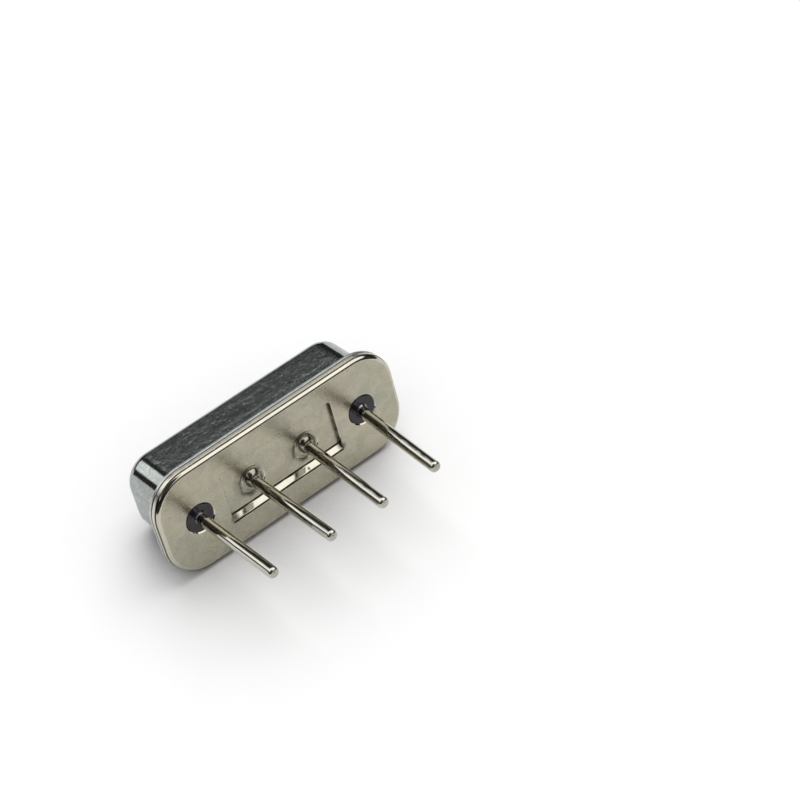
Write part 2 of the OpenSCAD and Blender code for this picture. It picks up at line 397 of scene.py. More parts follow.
def write_place(tree: Tree, _: Any) -> dict[str, Any]:
    """Turns a piece's coordinates into package millimetres.

    Args:
        tree: The group's tree.

    Returns:
        The package position.
    """
    back = PACKAGE.matrix().inverted()
    coordinates = tree.add("TexCoord").outputs["Object"]
    moved = tree.add(
        "Mapping",
        {"Vector": coordinates, "Location": back.translation,
         "Rotation": back.to_euler("XYZ"), "Scale": back.to_scale()})
    return {"Place": moved.outputs[0]}


def write_stain(tree: Tree, given: Any) -> dict[str, Any]:
    """Drifts a plating colour towards two tints in broad soft patches.

    Args:
        tree: The group's tree.
        given: The group's inputs.

    Returns:
        The colour and the patches.
    """
    cool_patches, warm_patches = (0.48, 0.68), (0.5, 0.72)
    warm_shift = (17.0, 5.0, 9.0)
    broad = tree.stretch(given["Place"], (0.8, 1.0, 1.0))
    first = tree.noise(broad, given["Scale"], detail=3.0, roughness=0.55, distortion=0.6)
    second = tree.noise(tree.vector("ADD", broad, warm_shift), given["Scale"],
                        detail=4.0, roughness=0.6, distortion=1.1)
    cool = tree.times(tree.remap(first, *cool_patches), given["Amount"])
    warm = tree.times(tree.remap(second, *warm_patches), given["Amount"])
    colour = tree.mix(cool, given["Base"], given["Cool"])
    return {
        "Colour": tree.mix(warm, colour, given["Warm"]),
        "Patch": tree.math("ADD", first, tree.times(second, 0.5)),
    }


def write_grain(tree: Tree, given: Any) -> dict[str, Any]:
    """Sets a fine satin speckle over a softer orange-peel relief.

    Args:
        tree: The group's tree.
        given: The group's inputs.

    Returns:
        The relief and the speckle alone.
    """
    peel_size = 0.22
    speck = tree.noise(given["Place"], given["Scale"], roughness=0.6)
    peel = tree.noise(given["Place"], tree.times(given["Scale"], peel_size))
    height = tree.math("ADD", speck, tree.times(peel, given["Peel"]))
    return {"Height": height, "Speck": speck}


def write_lines(tree: Tree, given: Any) -> dict[str, Any]:
    """Draws lines that run along one axis, broken up over their length.

    Args:
        tree: The group's tree.
        given: The group's inputs.

    Returns:
        The lines' relief and their streaks.
    """
    broad_size, fine_share, streak_range = 0.27, 0.6, (0.38, 0.62)
    run = tree.vector("MULTIPLY", given["Place"], given["Stretch"])
    fine = tree.noise(run, 1.0, detail=4.0, roughness=0.65)
    broad = tree.noise(tree.stretch(run, (broad_size,) * 3), 1.0)
    height = tree.math("ADD", tree.times(fine, fine_share), tree.times(broad, 1 - fine_share))
    return {"Height": height, "Streak": tree.remap(height, *streak_range)}


def write_scratches(tree: Tree, given: Any) -> dict[str, Any]:
    """Scores sparse hairlines: the thin walls of stretched, turned cells.

    Args:
        tree: The group's tree.
        given: The group's inputs.

    Returns:
        The scratches' mask.
    """
    hairline, lean, cell_shape, gate_range = 0.022, 0.3, (0.35, 2.6, 1.2), (0.56, 0.64)
    turns_and_shifts = ((0.35, 0.0), (-0.6, 31.0), (1.3, 57.0))
    marks = []
    for turn, shift in turns_and_shifts:
        turned = tree.add(
            "Mapping",
            {"Vector": given["Place"], "Rotation": (0.0, lean * turn, turn),
             "Location": (shift, shift, 0.0), "Scale": cell_shape}).outputs[0]
        cells = tree.add("TexVoronoi", {"Vector": turned, "Scale": given["Density"]},
                         feature="DISTANCE_TO_EDGE").outputs["Distance"]
        line = tree.remap(cells, 0.0, hairline, 1.0, 0.0)
        gate = tree.remap(tree.noise(turned, given["Density"], detail=1.0), *gate_range)
        marks.append(tree.times(line, gate))
    return {"Mark": tree.math("MULTIPLY", tree.most(*marks), given["Amount"], clamp=True)}


def write_wear(tree: Tree, given: Any) -> dict[str, Any]:
    """Finds edges, where plating rubs bright, and crevices, which get painted shade.

    Args:
        tree: The group's tree.
        given: The group's inputs.

    Returns:
        The mask of the edges and the mask of the crevices.
    """
    bend_range, crevice_range = (0.995, 0.86), (0.75, 0.2)
    gap_scale, gap_range = 3.5, (0.3, 0.62)
    rounded = tree.add("Bevel", {"Radius": given["Radius"]}, samples=6).outputs[0]
    true_normal = tree.add("NewGeometry").outputs["Normal"]
    bend = tree.remap(tree.vector("DOT_PRODUCT", rounded, true_normal), *bend_range)
    # Ambient occlusion finds the crevices, which the finishes darken as painted shade.
    open_sky = tree.add("AmbientOcclusion", {"Distance": given["Reach"]}, samples=8)
    crevice = tree.remap(open_sky.outputs["AO"], *crevice_range)
    gaps = tree.noise(given["Place"], gap_scale, detail=4.0, roughness=0.7)
    edge = tree.times(bend, tree.math("SUBTRACT", 1.0, crevice, clamp=True))
    return {
        "Edge": tree.times(edge, tree.remap(gaps, *gap_range)),
        "Crevice": tree.math("MULTIPLY", crevice, given["Dirt"], clamp=True),
    }


def write_outline(tree: Tree, given: Any) -> dict[str, Any]:
    """Measures how far a point lies inside the flange's rounded outline.

    Args:
        tree: The group's tree.
        given: The group's inputs.

    Returns:
        The distance, which is below zero outside the outline.
    """
    along, across = FLANGE.straights()
    flat = tree.vector("ABSOLUTE", tree.stretch(given["Place"], (1.0, 1.0, 0.0)))
    past = tree.vector("SUBTRACT", flat, (along / 2, across / 2, 0.0))
    parts = tree.axes(past)
    outside = tree.vector("LENGTH", tree.vector("MAXIMUM", past))
    inside = tree.math("MINIMUM", tree.most(parts["X"], parts["Y"]), 0.0)
    reach = tree.math("ADD", outside, inside)
    return {"Inset": tree.math("SUBTRACT", FLANGE.corner, reach)}


def write_pocket(tree: Tree, given: Any) -> dict[str, Any]:
    """Finds the lines round the pocket in the header where shade is painted.

    Args:
        tree: The group's tree.
        given: The group's inputs.

    Returns:
        The painted shade's mask.
    """
    end_wall, end_level, line_soft, edge_soft, lip_share = (0.5, 0.8), 0.02, 0.01, 0.05, 0.9
    gap_scale, gap_range, least = 3.0, (0.3, 0.5), 0.55
    bends = tree.remap(given["Flat"], 0.0, 1.0, 1.0, 0.0)
    side = tree.axes(given["Place"])["Y"]
    parts = tree.axes(tree.vector("ABSOLUTE", given["Place"]))
    level = parts["Z"]
    lengthwise = tree.vector("DOT_PRODUCT", tree.normal(), tuple(PACKAGE.along))
    ends = tree.times(tree.remap(tree.math("ABSOLUTE", lengthwise), *end_wall),
                      tree.rise(level, end_level, line_soft))
    above_floor = tree.remap(level, POCKET.depth + 0.0002, POCKET.depth - 0.0005)
    foot = tree.times(tree.rise(level, POCKET.foot_line, line_soft), above_floor)
    lip = tree.times(tree.fall(level, POCKET.lip_line, line_soft), lip_share)
    sloped = tree.times(tree.most(foot, lip), bends,
                        tree.rise(side, POCKET.slope_from, edge_soft))
    within = tree.times(tree.fall(parts["X"], POCKET.half_length, edge_soft),
                        tree.fall(parts["Y"], POCKET.half_width, edge_soft))
    broken = tree.remap(tree.noise(given["Place"], gap_scale), *gap_range, least, 1.0)
    return {"Mark": tree.times(tree.most(sloped, ends), within, broken)}


def write_band(tree: Tree, given: Any) -> dict[str, Any]:
    """Draws a soft, broken band of painted light along the package's straight walls at one
    height.

    Args:
        tree: The group's tree.
        given: The group's inputs.

    Returns:
        The band's mask.
    """
    corner, corner_soft, solid_share, drift_scale = 4.1, 0.4, 0.35, 0.9
    gap_stretch, gap_range, least = (0.8, 0.8, 6.0), (0.3, 0.5), 0.3
    drift = tree.math("SUBTRACT", tree.noise(given["Place"], drift_scale), 0.5)
    height = tree.axes(given["Place"])["Z"]
    bent = tree.math("MULTIPLY_ADD", drift, given["Drift"], height)
    share = tree.math("DIVIDE", tree.off(bent, given["Level"]), given["Half"])
    band = tree.remap(share, solid_share, 1.0, 1.0, 0.0)
    gaps = tree.noise(tree.stretch(given["Place"], gap_stretch), 1.0,
                      detail=3.0, roughness=0.6)
    lengthwise = tree.axes(tree.vector("ABSOLUTE", given["Place"]))["X"]
    broken = tree.times(tree.remap(gaps, *gap_range, least, 1.0),
                        tree.fall(lengthwise, corner, corner_soft))
    return {"Mark": tree.times(band, broken)}


def write_halo(tree: Tree, given: Any) -> dict[str, Any]:
    """Draws a soft, uneven ring round a point, as heat and residue leave it, or a spot of
    painted shade.

    Args:
        tree: The group's tree.
        given: The group's inputs.

    Returns:
        The ring's mask.
    """
    wobble_scale, gap_scale, gap_range, least = 1.6, 2.2, (0.3, 0.6), 0.25
    flat = tree.stretch(given["Place"], (1.0, 1.0, 0.0))
    away = tree.vector("DISTANCE", flat, given["Centre"])
    wobble = tree.math("SUBTRACT", tree.noise(flat, wobble_scale), 0.5)
    bent = tree.math("MULTIPLY_ADD", wobble, given["Wobble"], away)
    share = tree.math("DIVIDE", tree.off(bent, given["Radius"]), given["Width"])
    ring = tree.remap(share, 0.0, 1.0, 1.0, 0.0)
    broken = tree.remap(tree.noise(flat, gap_scale), *gap_range, least, 1.0)
    kept = tree.most(broken, given["Fill"])
    return {"Mark": tree.math("MULTIPLY", ring, kept, clamp=True)}


def write_mottle(tree: Tree, given: Any) -> dict[str, Any]:
    """Sets small soft dents and blotches, closer than stains and coarser than grain.

    Args:
        tree: The group's tree.
        given: The group's inputs.

    Returns:
        The dents' relief and the blotches' mask.
    """
    blotch_size, blotch_shift, blotch_range = 0.45, (5.0, 23.0, 11.0), (0.36, 0.64)
    dents = tree.noise(given["Place"], given["Scale"], roughness=0.55, distortion=0.4)
    shifted = tree.vector("ADD", given["Place"], blotch_shift)
    blotch = tree.noise(shifted, tree.times(given["Scale"], blotch_size),
                        detail=3.0, roughness=0.6, distortion=0.8)
    return {"Height": dents, "Blotch": tree.remap(blotch, *blotch_range)}


def write_flatness(tree: Tree, _: Any) -> dict[str, Any]:
    """Tells the package's flat walls, which stay satin, from its bends and edges.

    Args:
        tree: The group's tree.

    Returns:
        The mask of the flat walls.
    """
    flat_range = (0.975, 0.998)
    normal = tree.normal()
    shares = [tree.math("ABSOLUTE", tree.vector("DOT_PRODUCT", normal, tuple(axis)))
              for axis in (PACKAGE.along, PACKAGE.across, PACKAGE.up)]
    return {"Flat": tree.remap(tree.most(*shares), *flat_range)}


def write_facing(tree: Tree, given: Any) -> dict[str, Any]:
    """Finds the surface that looks down the leads, such as their cut ends.

    Args:
        tree: The group's tree.
        given: The group's inputs.

    Returns:
        The mask of that surface.
    """
    facing_range = (0.8, 0.97)
    share = tree.vector("DOT_PRODUCT", tree.normal(), tuple(-PACKAGE.up))
    below = tree.math("LESS_THAN", tree.axes(given["Place"])["Z"], given["Level"])
    return {"Mark": tree.times(tree.remap(share, *facing_range), below)}


class Effects:
    """The shared shader node groups, built once."""

    PLACE: ClassVar[tuple] = ("Place", "Vector", None)
    MARK: ClassVar[tuple] = ("Mark", "Float")
    HEIGHT: ClassVar[tuple] = ("Height", "Float")

    def __init__(self) -> None:
        """Builds every group."""
        self.where = Effect("package_place", (), [("Place", "Vector")], write_place)
        self.stain = Effect(
            "plating_stain",
            [self.PLACE, ("Base", "Color", None), ("Cool", "Color", None),
             ("Warm", "Color", None), ("Scale", "Float", 0.5), ("Amount", "Float", 0.5)],
            [("Colour", "Color"), ("Patch", "Float")], write_stain)
        self.grain = Effect(
            "satin_grain",
            [self.PLACE, ("Scale", "Float", 30.0), ("Peel", "Float", 1.0)],
            [self.HEIGHT, ("Speck", "Float")], write_grain)
        self.lines = Effect(
            "drawing_lines", [self.PLACE, ("Stretch", "Vector", (1.0, 1.0, 1.0))],
            [self.HEIGHT, ("Streak", "Float")], write_lines)
        self.scratches = Effect(
            "hairline_scratches",
            [self.PLACE, ("Density", "Float", 1.0), ("Amount", "Float", 1.0)],
            [self.MARK], write_scratches)
        self.wear_and_shade = Effect(
            "edge_wear",
            [self.PLACE, ("Radius", "Float", 0.04 * MM), ("Reach", "Float", 0.2 * MM),
             ("Dirt", "Float", 0.8)],
            [("Edge", "Float"), ("Crevice", "Float")], write_wear)
        self.outline = Effect(
            "flange_outline", [self.PLACE], [("Inset", "Float")], write_outline)
        self.halo = Effect(
            "heat_halo_and_painted_shade",
            [self.PLACE, ("Centre", "Vector", (0.0, 0.0, 0.0)), ("Radius", "Float", 0.5),
             ("Width", "Float", 0.1), ("Wobble", "Float", 0.3), ("Fill", "Float", 0.25)],
            [self.MARK], write_halo)
        self.mottle = Effect(
            "rolled_mottle", [self.PLACE, ("Scale", "Float", 4.0)],
            [self.HEIGHT, ("Blotch", "Float")], write_mottle)
        self.flatness = Effect("flat_walls", (), [("Flat", "Float")], write_flatness)
        self.pocket = Effect(
            "pocket_painted_shade", [self.PLACE, ("Flat", "Float", 0.0)], [self.MARK], write_pocket)
        self.band = Effect(
            "painted_level_band",
            [self.PLACE, ("Level", "Float", 1.0), ("Half", "Float", 0.1),
             ("Drift", "Float", 0.1)],
            [self.MARK], write_band)
        self.facing = Effect(
            "cut_end", [self.PLACE, ("Level", "Float", -4.5)], [self.MARK], write_facing)


EFFECTS = Effects()


def rgba(colour: Colour) -> tuple[float, float, float, float]:
    """Adds a full alpha to a colour."""
    return (*colour, 1.0)


def shades(colour: Colour, factor: float) -> tuple[float, float, float, float]:
    """Returns a colour scaled by a factor, with a full alpha."""
    return rgba(tuple(min(1.0, c * factor) for c in colour))


# ---------------------------------------------------------------- finishes


def start_material(name: str) -> tuple[bpy.types.Material, Tree, Any]:
    """Makes a material with nothing but a Principled shader.

    Args:
        name: The material's name.

    Returns:
        The material, its tree and the shader node.
    """
    material = bpy.data.materials.new(name)
    material.use_nodes = True
    material.node_tree.nodes.clear()
    tree = Tree(material.node_tree)
    shader = tree.add("BsdfPrincipled")
    leave = tree.add("OutputMaterial")
    tree.feed(leave.inputs["Surface"], shader.outputs[0])
    return material, tree, shader


@dataclass(frozen=True)
class Halo:
    """A dark ring or spot on the package, in millimetres: heat rings, stains, a pit and painted
    shade.
    """

    centre: Spot
    radius: float
    width: float
    wobble: float
    depth: float
    fill: float = 0.25


@dataclass(frozen=True)
class Band:
    """One soft painted band round the package, a painted highlight or painted shade."""

    level: float
    half: float
    drift: float
    shade: float
    share: float


@dataclass(frozen=True)
class Surface:
    """The shared effects as they lie on one material, by their outputs."""

    place: Any
    stain: Any
    grain: Any
    lines: Any
    scratches: Any
    wear_and_shade: Any
    mottle: Any
    cut: Any


@dataclass(frozen=True)
class NickelFinish:
    """Nickel plating over steel, from dull satin to bright drawn metal.

    Lengths are in package millimetres. stretch gives how closely the drawing lines are
    set along each axis: a low number draws them out along that axis. cut, sheared and
    pocket give how strongly a cut end, the sheared face with its painted highlight and
    painted shade lines, and the painted shade round the pocket show.
    """

    name: str
    base: Colour
    cool: Colour
    warm: Colour
    bright: Colour
    roughness: float
    stain_scale: float = 0.45
    stain: float = 0.6
    grain_scale: float = 34.0
    peel: float = 1.0
    speckle: float = 0.3
    stretch: Spot = (1.5, 22.0, 22.0)
    streak: float = 0.2
    scratch_density: float = 1.2
    scratch: float = 0.6
    crevice_shade: float = 0.8
    wear_radius: float = 0.03
    crevice_reach: float = 0.2
    relief: float = 0.0006
    wave: float = 0.004
    wave_stretch: Spot = (0.9, 0.9, 0.9)
    mottle: float = 0.0015
    mottle_scale: float = 6.0
    blotch: float = 0.1
    rough_spread: float = 0.08
    cut: float = 0.0
    burnish: float | None = None
    burnish_and_sheen_share: float = 0.3
    sheared: float = 0.0
    pocket: float = 0.0
    bands: tuple[Band, ...] = ()
    halos: tuple[Halo, ...] = ()

    SCRATCH_SHARE: ClassVar[float] = 0.5
    SHEARED_HIGHLIGHT_SHARE: ClassVar[float] = 0.5

    # Each mark's colour, as a share of the base colour.
    STREAK_SHADE: ClassVar[float] = 0.62
    DARK_SPECK_SHADE: ClassVar[float] = 0.5
    BRIGHT_SPECK_SHADE: ClassVar[float] = 1.5
    BLOTCH_SHADE: ClassVar[float] = 0.45
    CUT_SHADE: ClassVar[float] = 0.3
    # Colour of the heat rings, stains and pit, and of the spots of painted shade.
    HEAT_AND_PAINTED_SHADE: ClassVar[float] = 0.2
    # Colour of the painted shade in crevices.
    CREVICE_PAINTED_SHADE: ClassVar[float] = 0.16
    # Colour of the painted shade lines at the sheared face and round the pocket.
    LINE_SHADE: ClassVar[float] = 0.1

    # What each mark adds to the roughness.
    SPECK_ROUGH: ClassVar[float] = 0.1
    HEAT_ROUGH: ClassVar[float] = 0.2
    TEAR_ROUGH: ClassVar[float] = 0.22
    CUT_ROUGH: ClassVar[float] = 0.3
    CREVICE_ROUGH: ClassVar[float] = 0.3

    # Heights of the two painted shade lines that border the sheared face, and their reach.
    SHEAR_SHADE_LINES: ClassVar[tuple] = ((0.125, 0.05), (0.35, 0.055))

    # How far inside the outline the sheared face and its lines fade in.
    FACE_INSET: ClassVar[tuple] = (0.03, 0.015)
    LINE_INSET: ClassVar[tuple] = (0.065, 0.05)

    def build(self) -> bpy.types.Material:
        """Builds the material.

        Returns:
            The material.
        """
        material, tree, shader = start_material(self.name)
        on = self.lay_effects(tree)
        colour, flat, rough = self.burnish_and_sheen_bends(tree, self.plate(tree, on))
        colour, tear = self.lay_sheared_face(tree, on, colour)
        colour = self.lay_lines(tree, on, flat, colour)
        colour, heat = self.lay_halos(tree, on, colour)
        tree.feed(shader.inputs["Base Color"], self.darken_cut_and_crevices(tree, on, colour))
        tree.feed(shader.inputs["Roughness"], self.roughen(tree, on, rough, heat, tear))
        tree.feed(shader.inputs["Normal"], self.emboss(tree, on, flat))
        shader.inputs["Metallic"].default_value = 1.0
        return material

    def lay_effects(self, tree: Tree) -> Surface:
        """Places the shared effects with this finish's values.

        Args:
            tree: The material's tree.

        Returns:
            The effects' outputs.
        """
        place = EFFECTS.where.place(tree)["Place"]
        return Surface(
            place=place,
            stain=EFFECTS.stain.place(
                tree, Place=place, Base=rgba(self.base), Cool=rgba(self.cool),
                Warm=rgba(self.warm), Scale=self.stain_scale, Amount=self.stain),
            grain=EFFECTS.grain.place(tree, Place=place, Scale=self.grain_scale, Peel=self.peel),
            lines=EFFECTS.lines.place(tree, Place=place, Stretch=self.stretch),
            scratches=EFFECTS.scratches.place(
                tree, Place=place, Density=self.scratch_density, Amount=self.scratch)["Mark"],
            wear_and_shade=EFFECTS.wear_and_shade.place(
                tree, Place=place, Radius=self.wear_radius * MM,
                Reach=self.crevice_reach * MM, Dirt=self.crevice_shade),
            mottle=EFFECTS.mottle.place(tree, Place=place, Scale=self.mottle_scale),
            cut=EFFECTS.facing.place(tree, Place=place)["Mark"])

    def plate(self, tree: Tree, on: Surface) -> Any:
        """Colours the plating with its streaks, specks, blotches and rubbed edges.

        Args:
            tree: The material's tree.
            on: The effects' outputs.

        Returns:
            The plating's colour.
        """
        colour = tree.mix(tree.times(on.lines["Streak"], self.streak), on.stain["Colour"],
                          shades(self.base, self.STREAK_SHADE))
        for ends, shade in (((0.5, 0.28), self.DARK_SPECK_SHADE),
                            ((0.5, 0.72), self.BRIGHT_SPECK_SHADE)):
            specks = tree.remap(on.grain["Speck"], *ends, 0.0, self.speckle)
            colour = tree.mix(specks, colour, shades(self.base, shade))
        colour = tree.mix(tree.times(on.mottle["Blotch"], self.blotch), colour,
                          shades(self.base, self.BLOTCH_SHADE))
        colour = tree.mix(on.wear_and_shade["Edge"], colour, rgba(self.bright))
        return tree.mix(tree.times(on.scratches, self.SCRATCH_SHARE), colour,
                        rgba(self.bright))

    def burnish_and_sheen_bends(self, tree: Tree, colour: Any) -> tuple[Any, Any, Any]:
        """Makes bends and edges lighter and smoother: partly burnished, as the forming tools
        leave them, and partly a painted highlight.

        Args:
            tree: The material's tree.
            colour: The colour so far.

        Returns:
            The colour, the mask of the flat walls, and the roughness.
        """
        if self.burnish is None:
            return colour, 1.0, self.roughness
        flat = EFFECTS.flatness.place(tree)["Flat"]
        # The lighter colour on the bends is partly burnish and partly a painted highlight.
        share = tree.remap(flat, 0.0, 1.0, self.burnish_and_sheen_share, 0.0)
        rough = tree.remap(flat, 0.0, 1.0, self.burnish, self.roughness)
        return tree.mix(share, colour, rgba(self.bright)), flat, rough

    def lay_sheared_face(self, tree: Tree, on: Surface, colour: Any) -> tuple[Any, Any]:
        """Paints the sheared face at the flange's outline lighter, a painted highlight, between
        two painted shade lines.

        Args:
            tree: The material's tree.
            on: The effects' outputs.
            colour: The colour so far.

        Returns:
            The colour and the mask of the sheared face.
        """
        if not self.sheared:
            return colour, 0.0
        tear_stretch, face_range, line_range = (16.0, 16.0, 1.5), (0.3, 0.55), (0.25, 0.45)
        least_face, least_line = 0.6, 0.7
        inset = EFFECTS.outline.place(tree, Place=on.place)["Inset"]
        level = tree.axes(on.place)["Z"]
        tears = tree.noise(tree.stretch(on.place, tear_stretch), 1.0,
                           detail=3.0, roughness=0.6)
        torn = tree.remap(tears, *face_range, least_face * self.sheared, self.sheared)
        face = tree.times(tree.remap(inset, *self.FACE_INSET), torn)
        # The sheared face is mixed towards the bright colour: a painted highlight.
        face_with_painted_highlight = tree.mix(tree.times(face, self.SHEARED_HIGHLIGHT_SHARE), colour, rgba(self.bright))
        # Dark lines at two heights, the upper one by the seam's groove: painted shade.
        lines = tree.most(*(tree.near(level, *line) for line in self.SHEAR_SHADE_LINES))
        dark = tree.times(tree.remap(lines, 0.1, 0.5), tree.remap(inset, *self.LINE_INSET))
        broken = tree.times(dark, tree.remap(tears, *line_range, least_line, 1.0))
        return tree.mix(broken, face_with_painted_highlight, shades(self.base, self.LINE_SHADE)), face

    def lay_lines(self, tree: Tree, on: Surface, flat: Any, colour: Any) -> Any:
        """Lays the painted bands round the package and the painted shade round its pocket.

        Args:
            tree: The material's tree.
            on: The effects' outputs.
            flat: The mask of the flat walls.
            colour: The colour so far.

        Returns:
            The colour with the lines on it.
        """
        for band in self.bands:
            mark = EFFECTS.band.place(tree, Place=on.place, Level=band.level, Half=band.half,
                                      Drift=band.drift)["Mark"]
            colour = tree.mix(tree.times(mark, band.share), colour,
                              shades(self.base, band.shade))
        if not self.pocket:
            return colour
        # Painted shade along the pocket's creases, end walls and lip.
        mark = EFFECTS.pocket.place(tree, Place=on.place, Flat=flat)["Mark"]
        return tree.mix(tree.times(mark, self.pocket), colour,
                        shades(self.base, self.LINE_SHADE))

    def lay_halos(self, tree: Tree, on: Surface, colour: Any) -> tuple[Any, Any]:
        """Darkens each heat ring and stain, the pit, and the spots of painted shade.

        Args:
            tree: The material's tree.
            on: The effects' outputs.
            colour: The colour so far.

        Returns:
            The colour and the rings' mask.
        """
        mask: Any = 0.0
        for halo in self.halos:
            mark = EFFECTS.halo.place(
                tree, Place=on.place, Centre=halo.centre, Radius=halo.radius,
                Width=halo.width, Wobble=halo.wobble, Fill=halo.fill)["Mark"]
            mask = tree.most(mask, tree.times(mark, halo.depth))
        return tree.mix(mask, colour, shades(self.base, self.HEAT_AND_PAINTED_SHADE)), mask

    def darken_cut_and_crevices(self, tree: Tree, on: Surface, colour: Any) -> Any:
        """Darkens the cut end and paints shade into the crevices.

        Args:
            tree: The material's tree.
            on: The effects' outputs.
            colour: The colour so far.

        Returns:
            The finished colour.
        """
        cut = tree.mix(tree.times(on.cut, self.cut), colour, shades(self.base, self.CUT_SHADE))
        # Painted shade in the crevices.
        return tree.mix(on.wear_and_shade["Crevice"], cut, shades(self.base, self.CREVICE_PAINTED_SHADE))

    def roughen(self, tree: Tree, on: Surface, rough: Any, heat: Any, tear: Any) -> Any:
        """Spreads the roughness over patches and specks, and adds that of each mark.

        Args:
            tree: The material's tree.
            on: The effects' outputs.
            rough: The roughness so far.
            heat: The mask of the heat rings, stains and painted shade spots.
            tear: The mask of the sheared face.

        Returns:
            The finished roughness.
        """
        patch_middle, speck_middle = 0.75, 0.5
        marks = (
            (tree.math("SUBTRACT", on.stain["Patch"], patch_middle), self.rough_spread),
            (tree.math("SUBTRACT", on.grain["Speck"], speck_middle), self.SPECK_ROUGH),
            (heat, self.HEAT_ROUGH), (on.cut, self.CUT_ROUGH * self.cut),
            (tear, self.TEAR_ROUGH))
        for mark, amount in marks:
            rough = tree.math("MULTIPLY_ADD", mark, amount, rough)
        return tree.math("MULTIPLY_ADD", on.wear_and_shade["Crevice"], self.CREVICE_ROUGH, rough, clamp=True)

    def emboss(self, tree: Tree, on: Surface, flat: Any) -> Any:
        """Raises grain, drawing lines, dents and waves, and scores the scratches.

        Args:
            tree: The material's tree.
            on: The effects' outputs.
            flat: The mask of the flat walls, where the relief is full.

        Returns:
            The relief's normal.
        """
        grain_share, score, bend_share = 0.5, -0.8, 0.1
        fine = tree.math("ADD", tree.times(on.grain["Height"], grain_share),
                         on.lines["Height"])
        scored = tree.math("MULTIPLY_ADD", on.scratches, score, fine)
        waves = tree.noise(tree.stretch(on.place, self.wave_stretch), 1.0,
                           detail=1.0, roughness=0.4)
        broad = tree.math("MULTIPLY_ADD", waves, self.wave,
                          tree.times(on.mottle["Height"], self.mottle))
        height = tree.math("MULTIPLY_ADD", scored, self.relief, broad)
        bump = tree.add("Bump", {"Height": height, "Distance": MM,
                                 "Strength": tree.remap(flat, 0.0, 1.0, bend_share, 1.0)})
        return bump.outputs[0]


@dataclass(frozen=True)
class GlassFinish:
    """Fused glass, dark and opaque, with flow marks, fine bubbles and a thin plated edge.

    wire_at is how far each signal lead stands from the middle, and bare_reach how far
    the plating shows from the lead's axis, both in millimetres.
    """

    name: str
    base: Colour
    tint: Colour
    plating: Colour = (0.30, 0.295, 0.29)
    wire_at: float = 3.81
    bare_reach: float = 0.262
    bare_soft: float = 0.02
    roughness: float = 0.07
    rough_spread: float = 0.12
    flow_scale: float = 3.5
    flow: float = 0.9
    flow_shade: float = 0.55
    bubble_scale: float = 14.0
    bubble_range: tuple[float, float] = (0.06, 0.12)
    bubble_share: float = 0.5
    bubble_shade: float = 1.8
    bubble_depth: float = 0.7
    grain_scale: float = 18.0
    peel: float = 1.6
    relief: float = 0.004
    relief_share: float = 0.7
    refraction: float = 1.52

    def build(self) -> bpy.types.Material:
        """Builds the material.

        Returns:
            The material.
        """
        material, tree, shader = start_material(self.name)
        place = EFFECTS.where.place(tree)["Place"]
        flow = EFFECTS.stain.place(
            tree, Place=place, Base=rgba(self.base), Cool=rgba(self.tint),
            Warm=shades(self.base, self.flow_shade), Scale=self.flow_scale,
            Amount=self.flow)
        cells = tree.add("TexVoronoi", {"Vector": place, "Scale": self.bubble_scale},
                         feature="F1")
        bubble = tree.remap(cells.outputs["Distance"], *self.bubble_range, 1.0, 0.0)
        grain = EFFECTS.grain.place(tree, Place=place, Scale=self.grain_scale, Peel=self.peel)
        flecked = tree.mix(tree.times(bubble, self.bubble_share), flow["Colour"],
                           shades(self.tint, self.bubble_shade))

        folded = tree.stretch(tree.vector("ABSOLUTE", place), (1.0, 1.0, 0.0))
        away = tree.vector("DISTANCE", folded, (self.wire_at, 0.0, 0.0))
        bare = tree.fall(away, self.bare_reach - self.bare_soft, self.bare_soft)
        tree.feed(shader.inputs["Base Color"], tree.mix(bare, flecked, rgba(self.plating)))
        tree.feed(shader.inputs["Metallic"], bare)
        tree.feed(shader.inputs["Roughness"],
                  tree.math("MULTIPLY_ADD", grain["Speck"], self.rough_spread, self.roughness))

        height = tree.math("MULTIPLY_ADD", bubble, -self.bubble_depth, grain["Height"])
        bump = tree.add("Bump", {"Height": height, "Distance": self.relief * MM,
                                 "Strength": self.relief_share})
        tree.feed(shader.inputs["Normal"], bump.outputs[0])
        shader.inputs["IOR"].default_value = self.refraction
        return material


@dataclass(frozen=True)
class InnerFinish:
    """A finish of the sealed inside: quartz, glue, metal film or bond wire."""

    name: str
    base: Colour
    metallic: float
    roughness: float
    rough_spread: float = 0.1
    grain_scale: float = 12.0
    grain_range: tuple[float, float] = (0.35, 0.7)
    grain_shade: float = 0.82
    relief: float = 0.001
    relief_share: float = 0.6
    transmission: float = 0.0

    def build(self) -> bpy.types.Material:
        """Builds the material.

        Returns:
            The material.
        """
        material, tree, shader = start_material(self.name)
        place = EFFECTS.where.place(tree)["Place"]
        grain = EFFECTS.grain.place(tree, Place=place, Scale=self.grain_scale, Peel=1.0)
        tree.feed(shader.inputs["Base Color"],
                  tree.mix(tree.remap(grain["Speck"], *self.grain_range), rgba(self.base),
                           shades(self.base, self.grain_shade)))
        tree.feed(shader.inputs["Roughness"],
                  tree.math("MULTIPLY_ADD", grain["Speck"], self.rough_spread, self.roughness))
        bump = tree.add("Bump", {"Height": grain["Height"], "Distance": self.relief * MM,
                                 "Strength": self.relief_share})
        tree.feed(shader.inputs["Normal"], bump.outputs[0])
        shader.inputs["Metallic"].default_value = self.metallic
        shader.inputs["Transmission Weight"].default_value = self.transmission
        return material


GROUND_PINS = ("ground_pin_2", "ground_pin_3")


